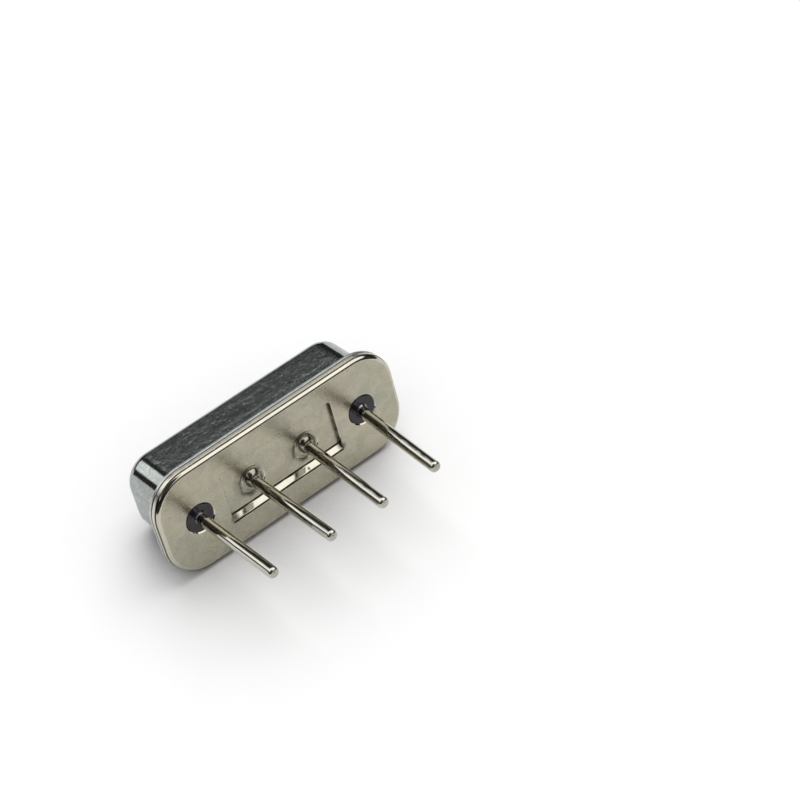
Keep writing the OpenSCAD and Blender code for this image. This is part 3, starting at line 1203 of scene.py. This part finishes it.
def lead_root(pin: str) -> Vector:
    """Finds where a lead passes the seating face.

    Args:
        pin: The name of the lead's mount.

    Returns:
        The root in package millimetres, in the plane of the seating face.
    """
    entry = mount(frame["record"], pin)
    half = Vector(entry["axis"]).normalized() * entry["dims"]["length_mm"] / 2 * MM
    root = PACKAGE.matrix().inverted() @ (Vector(entry["pos_m"]) - half)
    return Vector((root.x, root.y, 0.0))


def beside(pin: str, x: float, y: float) -> Spot:
    """Returns the point that lies x and y from a lead's root, in millimetres."""
    return tuple(lead_root(pin) + Vector((x, y, 0.0)))


def dark_spot(x: float, y: float, width: float, wobble: float) -> Halo:
    """Returns a full dark spot on the header."""
    return Halo((x, y, 0.0), radius=0.0, width=width, wobble=wobble, depth=1.0, fill=1.0)


def header_marks_and_shade() -> tuple[Halo, ...]:
    """Sets the heat ring and the wider stain that each ground lead's weld leaves.

    Returns:
        The rings and stains, after a pit on the slope and painted shade at its two ends.
    """
    marks = [dark_spot(1.005, 1.012, width=0.09, wobble=0.0),
             # Painted shade in the corners at both ends of the pocket's slope.
             dark_spot(-2.47, 0.98, width=0.3, wobble=0.1),
             dark_spot(2.58, 0.97, width=0.24, wobble=0.1)]
    for pin in GROUND_PINS:
        marks.append(Halo(beside(pin, -0.1, 0.05), radius=0.48, width=0.2, wobble=0.25,
                          depth=0.9))
        marks.append(Halo(beside(pin, -0.2, -0.1), radius=0.4, width=0.4, wobble=0.6,
                          depth=0.36))
    return tuple(marks)


HEADER_MARKS_AND_SHADE = header_marks_and_shade()
# Painted shade over part of each weld foot, away from its highlight.
FOOT_PAINTED_SHADE = tuple(
    Halo(beside(pin, 0.0, 0.32), radius=0.0, width=0.6, wobble=0.3, depth=1.0)
    for pin in GROUND_PINS)
# Painted light on the can's walls: a painted dark line at the top edge, two painted highlight
# streaks, a painted dark streak between them, and painted shade above the flange.
CAN_PAINTED_BANDS = (
    Band(level=2.88, half=0.11, drift=0.0, shade=0.3, share=0.65),
    Band(level=1.56, half=0.12, drift=0.25, shade=1.7, share=0.45),
    Band(level=2.3, half=0.08, drift=0.2, shade=1.5, share=0.25),
    Band(level=1.85, half=0.07, drift=0.2, shade=0.5, share=0.4),
    Band(level=0.72, half=0.16, drift=0.04, shade=0.2, share=0.7))

FINISHES: dict[Slot, Any] = {
    Slot.CAN: NickelFinish(
        "can_satin_nickel", base=(0.45, 0.485, 0.465), cool=(0.33, 0.40, 0.38),
        warm=(0.42, 0.41, 0.42), bright=(0.82, 0.82, 0.79), roughness=0.25,
        grain_scale=11.0, peel=0.6, speckle=0.5, stretch=(1.2, 16.0, 16.0), streak=0.2,
        relief=0.001, wave=0.012, wave_stretch=(0.3, 1.1, 1.1), mottle=0.016,
        mottle_scale=3.8, blotch=0.4, burnish=0.1, burnish_and_sheen_share=0.1, sheared=1.0,
        bands=CAN_PAINTED_BANDS),
    Slot.HEADER: NickelFinish(
        "header_coined_nickel", base=(0.52, 0.487, 0.378), cool=(0.46, 0.47, 0.37),
        warm=(0.54, 0.47, 0.41), bright=(0.88, 0.85, 0.76), roughness=0.27,
        grain_scale=17.0, peel=1.4, speckle=0.14, stretch=(1.4, 3.0, 3.0), streak=0.1,
        scratch=0.25, wave=0.009, mottle=0.0045, mottle_scale=4.0, blotch=0.22,
        burnish=0.1, burnish_and_sheen_share=0.3, sheared=1.0, pocket=0.9, halos=HEADER_MARKS_AND_SHADE),
    Slot.LEAD: NickelFinish(
        "lead_drawn_nickel", base=(0.68, 0.66, 0.59), cool=(0.58, 0.58, 0.53),
        warm=(0.66, 0.59, 0.50), bright=(0.88, 0.86, 0.80), roughness=0.09,
        stain_scale=1.2, grain_scale=22.0, peel=0.4, speckle=0.2, stretch=(14.0, 14.0, 0.7),
        streak=0.45, scratch=0.15, relief=0.0008, wave=0.003, wave_stretch=(1.6, 1.6, 1.6),
        mottle=0.0, blotch=0.1, rough_spread=0.04, cut=0.3),
    Slot.GLASS: GlassFinish("seal_dark_glass", base=(0.014, 0.011, 0.017),
                            tint=(0.026, 0.021, 0.036)),
    Slot.QUARTZ: InnerFinish("die_polished_quartz", base=(0.86, 0.90, 0.92), metallic=0.0,
                             roughness=0.07, transmission=0.6),
    Slot.GLUE: InnerFinish("die_silicone_glue", base=(0.85, 0.83, 0.78), metallic=0.0,
                           roughness=0.55, grain_scale=9.0, relief=0.004),
    Slot.FILM: InnerFinish("metal_film_aluminium", base=(0.90, 0.90, 0.92), metallic=1.0,
                           roughness=0.09, grain_scale=40.0),
    Slot.WIRE: InnerFinish("bond_wire_aluminium", base=(0.88, 0.87, 0.85), metallic=1.0,
                           roughness=0.17, grain_scale=30.0),
}
FOOT_FINISH = NickelFinish(
    "weld_foot_nickel", base=(0.46, 0.42, 0.33), cool=(0.26, 0.25, 0.22),
    warm=(0.30, 0.23, 0.15), bright=(0.80, 0.77, 0.68), roughness=0.17, stain_scale=2.2,
    stain=0.8, grain_scale=20.0, streak=0.1, scratch=0.1, relief=0.002, wave=0.016,
    wave_stretch=(2.6, 2.6, 2.6), blotch=0.5, halos=FOOT_PAINTED_SHADE)
# Near-black weld scale, partly painted shade of the seam's groove.
WELD_SCALE_AND_SEAM_SHADE = NickelFinish(
    "weld_scale_and_seam_shade", base=(0.09, 0.085, 0.075), cool=(0.06, 0.065, 0.075),
    warm=(0.13, 0.10, 0.07), bright=(0.32, 0.31, 0.28), roughness=0.34, stain_scale=2.4,
    stain=0.8, streak=0.1, scratch=0.1, crevice_shade=0.3, relief=0.003)


class Wardrobe:
    """Builds each finish once and puts it on pieces."""

    def __init__(self) -> None:
        """Starts with nothing built."""
        self.made: dict[str, bpy.types.Material] = {}

    def material(self, finish: Any) -> bpy.types.Material:
        """Finds the finish's material, or builds it on its first use.

        Args:
            finish: The finish.

        Returns:
            The material.
        """
        if finish.name not in self.made:
            self.made[finish.name] = finish.build()
        return self.made[finish.name]

    def dress(self, piece: bpy.types.Object, slot: Slot, finish: Any = None) -> None:
        """Gives a piece its finish, that of its slot unless another is given.

        Args:
            piece: The piece to dress.
            slot: The record's material slot.
            finish: The finish, where it isn't the slot's own.
        """
        material = self.material(finish or FINISHES[slot])
        piece.data.materials.clear()
        piece.data.materials.append(material)
        LOG.info("dressed %s in %s", piece.name, material.name)


# ---------------------------------------------------------------- mesh tools


def to_object(name: str, mesh_data: bmesh.types.BMesh) -> bpy.types.Object:
    """Turns a bmesh in row metres into a smooth-shaded object at the origin.

    Args:
        name: The piece's name.
        mesh_data: The mesh, which is freed.

    Returns:
        The linked object.
    """
    bmesh.ops.recalc_face_normals(mesh_data, faces=mesh_data.faces)
    mesh = bpy.data.meshes.new(name)
    mesh_data.to_mesh(mesh)
    mesh_data.free()
    for polygon in mesh.polygons:
        polygon.use_smooth = True
    piece = bpy.data.objects.new(name, mesh)
    bpy.context.scene.collection.objects.link(piece)
    return piece


def arc(centre: ProfilePoint, radius: float, start: float, end: float,
        steps: int) -> list[ProfilePoint]:
    """Sets points along a circular arc of a profile.

    Args:
        centre: The arc's centre.
        radius: Its radius.
        start: The angle of its first point, in degrees.
        end: The angle of its last point.
        steps: The number of stretches between them.

    Returns:
        The points, with both ends.
    """
    angles = [math.radians(start + (end - start) * k / steps) for k in range(steps + 1)]
    return [(centre[0] + radius * math.cos(a), centre[1] + radius * math.sin(a)) for a in angles]


def straight(first: ProfilePoint, last: ProfilePoint, steps: int) -> list[ProfilePoint]:
    """Returns evenly set points on a straight stretch, without its first point."""
    return [(first[0] + (last[0] - first[0]) * k / steps,
             first[1] + (last[1] - first[1]) * k / steps) for k in range(1, steps + 1)]


def polar(radius: float, height: float, angle: float) -> Vector:
    """Returns the point at a radius, height and angle round local Z."""
    return Vector((radius * math.cos(angle), radius * math.sin(angle), height))


def strip(mesh_data: bmesh.types.BMesh, low: Sequence[Any], high: Sequence[Any]) -> None:
    """Joins two closed rings of points with a strip of faces.

    Args:
        mesh_data: The mesh that gets the faces.
        low: The points of one ring.
        high: As many points of the next ring.
    """
    for side in range(len(low)):
        after = (side + 1) % len(low)
        mesh_data.faces.new((low[side], low[after], high[after], high[side]))


def lathe(name: str, profile: Sequence[ProfilePoint], stand: Matrix, sides: int,
          point: Callable[[float, float, float], Vector]) -> bpy.types.Object:
    """Turns a profile round local Z.

    Args:
        name: The piece's name.
        profile: (radius, height) points in millimetres, from end to end.
        stand: The matrix from local millimetres to row metres.
        sides: Faces round the axis.
        point: Places a point from its radius, height and angle.

    Returns:
        The piece, closed at both ends.
    """
    mesh_data = bmesh.new()
    angles = [2 * math.pi * side / sides for side in range(sides)]
    rings = [[mesh_data.verts.new(stand @ point(radius, height, angle)) for angle in angles]
             for radius, height in profile]
    for low, high in zip(rings, rings[1:]):
        strip(mesh_data, low, high)
    for ring, (_, height) in ((rings[0], profile[0]), (rings[-1], profile[-1])):
        middle = mesh_data.verts.new(stand @ point(0.0, height, 0.0))
        for side in range(sides):
            mesh_data.faces.new((middle, ring[side], ring[(side + 1) % sides]))
    return to_object(name, mesh_data)


def unevenness(spot: Vector, seed: float, size: float) -> float:
    """Reads a smooth pattern between about -1 and 1.

    Args:
        spot: The point, in millimetres.
        seed: Shifts the pattern.
        size: Width of a bump, in millimetres.

    Returns:
        The pattern's value.
    """
    return noise.noise(spot / size + Vector((seed, 2.3 * seed, 0.7 * seed)))


# ---------------------------------------------------------------- sub-assemblies


@dataclass
class Packed:
    """A sub-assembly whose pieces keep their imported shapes."""

    slots: dict[str, Slot]

    def dress(self, wardrobe: Wardrobe) -> list[bpy.types.Object]:
        """Gives every piece the finish of its slot.

        Args:
            wardrobe: Holds the finishes.

        Returns:
            The pieces.
        """
        pieces = [frame["nodes"][node] for node in self.slots]
        for piece, slot in zip(pieces, self.slots.values()):
            wardrobe.dress(piece, slot)
        return pieces


@dataclass
class Can(Packed):
    """The drawn can, in green-grey satin plating."""

    slots: dict[str, Slot] = field(default_factory=lambda: {"can": Slot.CAN})


@dataclass
class Header(Packed):
    """The coined header, in warm satin plating."""

    slots: dict[str, Slot] = field(default_factory=lambda: {"header": Slot.HEADER})


@dataclass
class Inside(Packed):
    """The die with its glue, metal film and bond wires, sealed under the can."""

    slots: dict[str, Slot] = field(default_factory=lambda: {
        "die_adhesive": Slot.GLUE,
        "quartz_die": Slot.QUARTZ,
        "comb_left": Slot.FILM,
        "comb_right": Slot.FILM,
        "reflector_left": Slot.FILM,
        "reflector_right": Slot.FILM,
        "bond_wire_left": Slot.WIRE,
        "bond_wire_right": Slot.WIRE,
    })


class Modelled:
    """A piece that is modelled here and stands still on the frame."""

    slot: ClassVar[Slot]
    finish: ClassVar[Any] = None
    stands_in: ClassVar[bool] = False

    def build(self) -> bpy.types.Object:
        """Builds the piece, in each kind's own way."""
        raise NotImplementedError

    def dress(self, wardrobe: Wardrobe) -> list[bpy.types.Object]:
        """Builds the piece, dresses it and sets it on the frame.

        Args:
            wardrobe: Holds the finishes.

        Returns:
            The piece.
        """
        piece = self.build()
        wardrobe.dress(piece, self.slot, self.finish)
        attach(piece, "root")
        if self.stands_in:
            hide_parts(self.node)
        return [piece]


@dataclass
class Lead(Modelled):
    """One lead, turned as one wire with its flattened head or its welded end.

    Heights run down the lead from the seating face, in millimetres.
    """

    slot: ClassVar[Slot] = Slot.LEAD
    stands_in: ClassVar[bool] = True

    node: str
    pin: str
    seed: float
    grounded: bool
    sides: int = 96
    tip_round: float = 0.12
    tip_reach: float = 0.07
    tip_dome: float = 0.02
    foot_depth: float = 0.2
    head_radius: float = 0.35
    head_thickness: float = 0.1
    head_height: float = 1.35
    waver: float = 0.003
    waver_size: float = 0.35

    def __post_init__(self) -> None:
        """Reads where the lead stands from the record."""
        entry = mount(frame["record"], self.pin)
        self.radius = entry["dims"]["r_mm"]
        self.wall = entry["dims"]["length_mm"]
        axis = Vector(entry["axis"]).normalized()
        root = Vector(entry["pos_m"]) - axis * self.wall / 2 * MM
        turn = axis.to_track_quat("Z", "Y").to_matrix().to_4x4()
        self.stand = Matrix.Translation(root) @ turn @ Matrix.Scale(MM, 4)

    def butt(self) -> list[ProfilePoint]:
        """Returns a ground lead's welded end, up from the floor of the pocket."""
        base = (self.radius, -self.foot_depth)
        return [base, *straight(base, (self.radius, 0.0), steps=6)]

    def head(self) -> list[ProfilePoint]:
        """Draws the flattened head inside the can and the wire under it.

        Returns:
            The profile, down to the seating face.
        """
        top = -self.head_height
        neck = top + self.head_thickness
        return [
            (self.head_radius, top),
            *straight((self.head_radius, top), (self.head_radius, neck), steps=2),
            (self.radius, neck),
            *straight((self.radius, neck), (self.radius, 0.0), steps=30),
        ]

    def tip(self) -> list[ProfilePoint]:
        """Draws the cut end: a rounded rim round a slightly domed face.

        Returns:
            The profile, from the rim inwards.
        """
        flat = self.radius - self.tip_round
        end = self.wall + self.tip_reach
        rim = arc((flat, end - self.tip_round), self.tip_round, 0.0, 90.0, steps=16)
        face = [(flat * share, end + self.tip_dome * (1 - share * share))
                for share in (0.8, 0.6, 0.4, 0.2)]
        return [*rim[1:], *face]

    def point(self, radius: float, height: float, angle: float) -> Vector:
        """Places a point, with the drawn wire's slight unevenness."""
        waver = self.waver * unevenness(polar(radius, height, angle), self.seed, self.waver_size)
        return polar(radius + waver, height, angle)

    def build(self) -> bpy.types.Object:
        """Builds the lead.

        Returns:
            The lead's wire.
        """
        inner = self.butt() if self.grounded else self.head()
        wall_end = self.wall + self.tip_reach - self.tip_round
        shank = straight((self.radius, 0.0), (self.radius, wall_end), steps=150)
        profile = [*inner, *shank, *self.tip()]
        return lathe(f"{self.node}_wire", profile, self.stand, self.sides, self.point)


@dataclass
class WeldFoot(Modelled):
    """The upset foot of a ground lead: a lopsided dome that the weld squeezed out.

    Heights run down the lead from the seating face, in millimetres.
    """

    slot: ClassVar[Slot] = Slot.LEAD
    finish: ClassVar[Any] = FOOT_FINISH

    lead: Lead
    seed: float
    radius: float = 0.31
    bulge: float = 0.14
    bulge_angle: float = 87.0
    lump: float = 0.035
    lump_size: float = 0.2
    depth: float = 0.2
    climb: float = 0.02
    tuck: float = 0.02
    swell: float = 1.3
    taper: float = 1.6
    rings: int = 24
    sides: int = 128

    def outline(self) -> list[ProfilePoint]:
        """Draws the dome from the pocket's floor up to just inside the wire.

        Returns:
            The profile.
        """
        wire = self.lead.radius - self.tuck
        rise = self.depth + self.climb
        dome = []
        for k in range(self.rings + 1):
            share = k / self.rings
            swell = math.sin(math.pi / 2 * share) ** self.swell
            dome.append((self.radius - (self.radius - wire) * share ** self.taper,
                         -self.depth + rise * swell))
        return dome

    def point(self, radius: float, height: float, angle: float) -> Vector:
        """Places a point, with the bulge on one side and small lumps all round.

        Args:
            radius: The point's distance from the lead's axis.
            height: Its height.
            angle: Its angle round the axis.

        Returns:
            The point in local millimetres.
        """
        share = max(0.0, (radius - self.lead.radius) / (self.radius - self.lead.radius))
        lean = max(0.0, math.cos(angle - math.radians(self.bulge_angle)))
        plain = polar(radius, height, angle)
        lump = self.lump * unevenness(plain, self.seed, self.lump_size)
        return polar(radius + share * (self.bulge * lean + lump), height, angle)

    def build(self) -> bpy.types.Object:
        """Builds the foot.

        Returns:
            The foot.
        """
        root = PACKAGE.matrix().inverted() @ self.lead.stand.translation
        flip = Matrix.Rotation(math.pi, 4, "X")
        stand = PACKAGE.matrix() @ Matrix.Translation(root) @ flip
        return lathe(f"{self.lead.node}_foot", self.outline(), stand, self.sides, self.point)


@dataclass
class GlassSeal(Modelled):
    """The glass round a signal lead, drawn up along the wire and down to the bore."""

    slot: ClassVar[Slot] = Slot.GLASS
    stands_in: ClassVar[bool] = True

    node: str
    lead: Lead
    seed: float
    radius: float = 0.6
    depth: float = 0.02
    climb: float = 0.09
    hollow_share: float = 1.4
    tuck: float = 0.02
    rim: float = 0.05
    thickness: float = 0.83
    waver: float = 0.003
    waver_size: float = 0.3
    waver_depth: float = 0.2
    sides: int = 128

    def __post_init__(self) -> None:
        """Reads where the wire passes through the glass."""
        self.wire = self.lead.radius
        inward = (PACKAGE.matrix() @ self.local()).inverted() @ self.lead.stand
        self.root = inward.translation
        axis = inward.to_3x3() @ Vector((0.0, 0.0, 1.0))
        self.run = axis / axis.z

    def local(self) -> Matrix:
        """Finds the seal's place in the package, with local Z down the lead.

        Returns:
            The matrix from the seal's millimetres to the package's.
        """
        box_low, box_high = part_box(self.node)
        middle = (box_low.x + box_high.x) / 2 / MM
        return Matrix.Translation((middle, 0.0, 0.0)) @ Matrix.Rotation(math.pi, 4, "X")

    def surface(self) -> list[ProfilePoint]:
        """Draws the open face, from the wire down to the mouth of the bore.

        Returns:
            The profile.
        """
        hollow = self.climb * self.hollow_share
        climb = [(self.wire - self.tuck, self.climb - self.depth), *arc(
            (self.wire + hollow, hollow - self.depth), hollow, 200.0, 270.0, steps=14)]
        face = straight(climb[-1], (self.radius - self.rim, -self.depth), steps=12)
        edge = arc((self.radius - self.rim, -self.depth - self.rim), self.rim, 90.0, 0.0,
                   steps=8)
        return [*climb, *face, *edge[1:]]

    def point(self, radius: float, height: float, angle: float) -> Vector:
        """Places a point, so that the glass follows the wire inside and the bore outside.

        Args:
            radius: The point's distance from the bore's axis.
            height: Its height.
            angle: Its angle round the axis.

        Returns:
            The point in local millimetres.
        """
        share = max(0.0, min(1.0, (self.radius - radius) / (self.radius - self.wire)))
        plain = polar(radius, height, angle)
        lift = self.waver * unevenness(plain, self.seed, self.waver_size) * (1.0 - share)
        slip = self.root + self.run * height
        seen = height > -self.waver_depth
        return plain + Vector((slip.x * share, slip.y * share, lift if seen else 0.0))

    def build(self) -> bpy.types.Object:
        """Builds the seal.

        Returns:
            The seal.
        """
        front = self.surface()
        wall = straight(front[-1], (self.radius, -self.thickness), steps=10)
        back = straight(wall[-1], (self.wire - self.tuck, -self.thickness), steps=8)
        stand = PACKAGE.matrix() @ self.local()
        return lathe(f"{self.node}_glass", [*front, *wall, *back], stand, self.sides,
                     self.point)


@dataclass
class WeldSeam(Modelled):
    """Thin uneven bead of weld scale in the groove round the flange, in millimetres."""

    slot: ClassVar[Slot] = Slot.HEADER
    # Its near-black finish is weld scale, and partly painted shade of the groove.
    finish: ClassVar[Any] = WELD_SCALE_AND_SEAM_SHADE

    level: float = 0.36
    inset: float = 0.056
    bead: float = 0.045
    long_swell: float = 0.16
    long_pitch: float = 3.0
    short_swell: float = 0.1
    short_pitch: float = 13.0
    steps: int = 900
    sides: int = 10

    def path(self, share: float) -> tuple[Vector, Vector]:
        """Follows the flange's outline, a little inside it.

        Args:
            share: How far round, from 0 to 1.

        Returns:
            The point and the outward direction.
        """
        straight_x, straight_y = FLANGE.straights()
        radius = FLANGE.corner - self.inset
        bend = math.pi / 2 * radius
        way = share * (2 * straight_x + 2 * straight_y + 4 * bend)
        for index, (sign_x, sign_y) in enumerate(((1, -1), (1, 1), (-1, 1), (-1, -1))):
            run = straight_y if index % 2 == 0 else straight_x
            turn = math.radians(90 * index)
            start = Vector((sign_x * straight_x / 2, sign_y * straight_y / 2, 0.0))
            out = polar(1.0, 0.0, turn)
            on = Vector((-out.y, out.x, 0.0))
            if way <= run:
                return start + out * radius + on * way, out
            way -= run
            if way <= bend:
                out = polar(1.0, 0.0, turn + way / radius)
                return start + on * run + out * radius, out
            way -= bend
        return self.path(0.0)

    def ring(self, share: float) -> list[Vector]:
        """Sets the points round the bead at one place.

        Args:
            share: How far round the flange, from 0 to 1.

        Returns:
            The points in package millimetres.
        """
        middle, out = self.path(share)
        swell = (1.0 + self.long_swell * noise.noise(middle * self.long_pitch)
                 + self.short_swell * noise.noise(middle * self.short_pitch))
        reach = self.bead * swell
        points = []
        for side in range(self.sides):
            angle = 2 * math.pi * side / self.sides
            spot = middle + out * reach * math.cos(angle)
            spot.z = self.level + reach * math.sin(angle)
            points.append(spot)
        return points

    def build(self) -> bpy.types.Object:
        """Builds the bead as a closed tube of uneven thickness.

        Returns:
            The bead.
        """
        mesh_data = bmesh.new()
        stand = PACKAGE.matrix()
        rings = [[mesh_data.verts.new(stand @ spot) for spot in self.ring(step / self.steps)]
                 for step in range(self.steps)]
        for low, high in zip(rings, rings[1:] + rings[:1]):
            strip(mesh_data, low, high)
        return to_object("weld_seam_bead", mesh_data)


# ---------------------------------------------------------------- studio


@dataclass
class CameraStand:
    """The camera, placed and aimed in package millimetres."""

    place: Spot = (-31.554, -57.613, -66.69)
    aim: Spot = (4.545, -0.918, -1.724)
    roll: float = 4.323
    focal_length: float = 113.868
    sensor_width: float = 36.0
    near_clip: float = 1.0
    far_clip: float = 10000.0

    def build(self) -> None:
        """Makes the camera and sets it as the scene's own."""
        lens = bpy.data.cameras.new("camera")
        lens.lens = self.focal_length
        lens.sensor_width = self.sensor_width
        lens.clip_start = self.near_clip * MM
        lens.clip_end = self.far_clip * MM
        stand = PACKAGE.matrix()
        place = stand @ Vector(self.place)
        look = stand @ Vector(self.aim) - place
        level = look.to_track_quat("-Z", "Y")
        rolled = level @ Quaternion((0.0, 0.0, 1.0), -math.radians(self.roll))
        camera = bpy.data.objects.new("camera", lens)
        camera.location = place
        camera.rotation_euler = rolled.to_euler()
        bpy.context.scene.collection.objects.link(camera)
        bpy.context.scene.camera = camera


@dataclass
class Studio:
    """White table, one soft lamp and a pale room with a dim band and a dim front.

    The room's heights and directions are those of a unit sphere round the package.
    """

    table_radius: float = 0.25
    table_white: float = 0.93
    table_lift: float = 0.17
    painted_shadow_colour: Colour = (0.30, 0.27, 0.24)
    fibre_scale: float = 900.0
    fibre_shade: float = 0.985
    contact_reach: float = 5.0
    lift_range: tuple[float, float] = (0.55, 0.92)
    contact_shadow_range: tuple[float, float] = (0.14, 0.4)
    key_strength: float = 1.9
    key_from: Spot = (0.40, 0.37, 0.84)
    key_softness: float = 60.0
    ambient: float = 0.42
    ceiling: float = 1.55
    wall: float = 0.03
    wall_top: float = 0.52
    wall_rise: float = 0.06
    wall_soft: float = 0.06
    window: float = 1.3
    window_towards: Spot = (-0.37, 0.82, 0.43)
    window_range: tuple[float, float] = (0.955, 0.975)
    shade_towards: Spot = (-0.386, -0.518, 0.763)
    shade_range: tuple[float, float] = (0.78, 0.9)

    def build(self) -> None:
        """Builds the table, the lamp and the room."""
        self.build_table()
        self.build_lamp()
        self.build_room()
        bpy.context.scene.view_settings.view_transform = "Standard"

    def build_table(self) -> None:
        """Makes the round table top that the resonator lies on, with a painted contact shadow.
        """
        mesh_data = bmesh.new()
        bmesh.ops.create_circle(mesh_data, cap_ends=True, segments=96, radius=self.table_radius)
        table = to_object("table", mesh_data)
        material, tree, shader = start_material("table_paper")
        fibre = tree.noise(tree.add("TexCoord").outputs["Object"], self.fibre_scale,
                           detail=3.0, roughness=0.6)
        white = (self.table_white,) * 3
        paper = tree.mix(fibre, rgba(white), shades(white, self.fibre_shade))
        shader.inputs["Roughness"].default_value = 1.0
        shader.inputs["Specular IOR Level"].default_value = 0.0
        contact = tree.add("AmbientOcclusion", {"Distance": self.contact_reach * MM}, samples=4)
        # Ambient occlusion paints a contact shadow: the paper darkens next to the resonator, and
        # its glow to the camera fades there.
        lift = tree.remap(contact.outputs["AO"], *self.lift_range, 0.0, self.table_lift)
        painted_shade = tree.remap(contact.outputs["AO"], *self.contact_shadow_range, 1.0, 0.0)
        tree.feed(shader.inputs["Base Color"], tree.mix(painted_shade, paper, rgba(self.painted_shadow_colour)))
        seen = tree.add("LightPath").outputs["Is Camera Ray"]
        shader.inputs["Emission Color"].default_value = (1.0, 1.0, 1.0, 1.0)
        tree.feed(shader.inputs["Emission Strength"], tree.times(seen, lift))
        table.data.materials.append(material)

    def build_lamp(self) -> None:
        """Makes the soft key lamp, high behind the right end."""
        lamp = bpy.data.lights.new("key_lamp", "SUN")
        lamp.energy = self.key_strength
        lamp.angle = math.radians(self.key_softness)
        holder = bpy.data.objects.new("key_lamp", lamp)
        holder.rotation_euler = Vector(self.key_from).to_track_quat("Z", "Y").to_euler()
        holder.visible_glossy = False
        bpy.context.scene.collection.objects.link(holder)

    def build_room(self) -> None:
        """Makes the room: white to the camera, and to metal pale above a dim band."""
        world = bpy.data.worlds.new("room")
        world.use_nodes = True
        world.node_tree.nodes.clear()
        tree = Tree(world.node_tree)
        path = tree.add("LightPath").outputs
        mirrored = tree.most(path["Is Glossy Ray"], path["Is Transmission Ray"])
        dim = tree.times(tree.math("SUBTRACT", 1.0, mirrored), self.ambient)
        room = tree.math("MULTIPLY_ADD", mirrored, self.reflected(tree), dim)
        strength = tree.most(room, path["Is Camera Ray"])
        backdrop = tree.add("Background", {"Color": (1.0, 1.0, 1.0, 1.0), "Strength": strength})
        leave = tree.add("OutputWorld")
        tree.feed(leave.inputs["Surface"], backdrop.outputs[0])
        bpy.context.scene.world = world

    def reflected(self, tree: Tree) -> Any:
        """Sets how bright the room is in metal and glass, by direction.

        Args:
            tree: The world's tree.

        Returns:
            The brightness: pale above, dim below and in front, with one window.
        """
        direction = tree.add("TexCoord").outputs["Generated"]
        axes = tree.axes(direction)
        rim = tree.math("MULTIPLY_ADD", axes["Y"], self.wall_rise, self.wall_top)
        above = tree.math("SUBTRACT", axes["Z"], rim)
        ceiling = tree.remap(above, -self.wall_soft, self.wall_soft, self.wall, self.ceiling)
        to_window, to_shade = (
            tree.vector("DOT_PRODUCT", direction, Vector(towards).normalized())
            for towards in (self.window_towards, self.shade_towards))
        window = tree.remap(to_window, *self.window_range, 0.0, self.window)
        shade = tree.remap(to_shade, *self.shade_range, 1.0, self.wall)
        return tree.times(tree.most(ceiling, window), shade)


# ---------------------------------------------------------------- assembly


def main() -> None:
    """Builds the studio and every sub-assembly, and reports each piece."""
    logging.basicConfig(level=logging.INFO, format="%(name)s: %(message)s")
    CameraStand().build()
    Studio().build()
    wardrobe = Wardrobe()
    leads = [
        Lead("signal_lead_1", "signal_pin_1", seed=3.1, grounded=False),
        Lead("ground_lead_2", "ground_pin_2", seed=7.7, grounded=True),
        Lead("ground_lead_3", "ground_pin_3", seed=12.9, grounded=True),
        Lead("signal_lead_4", "signal_pin_4", seed=19.4, grounded=False),
    ]
    feet = [WeldFoot(leads[1], seed=2.6), WeldFoot(leads[2], seed=5.3)]
    seals = [
        GlassSeal("glass_seal_1", leads[0], seed=4.2),
        GlassSeal("glass_seal_4", leads[3], seed=8.6),
    ]
    for part in (Can(), Header(), Inside(), *leads, *feet, *seals, WeldSeam()):
        for piece in part.dress(wardrobe):
            LOG.info("%s: %d faces", piece.name, len(piece.data.polygons))


if __name__ == "__main__":
    main()
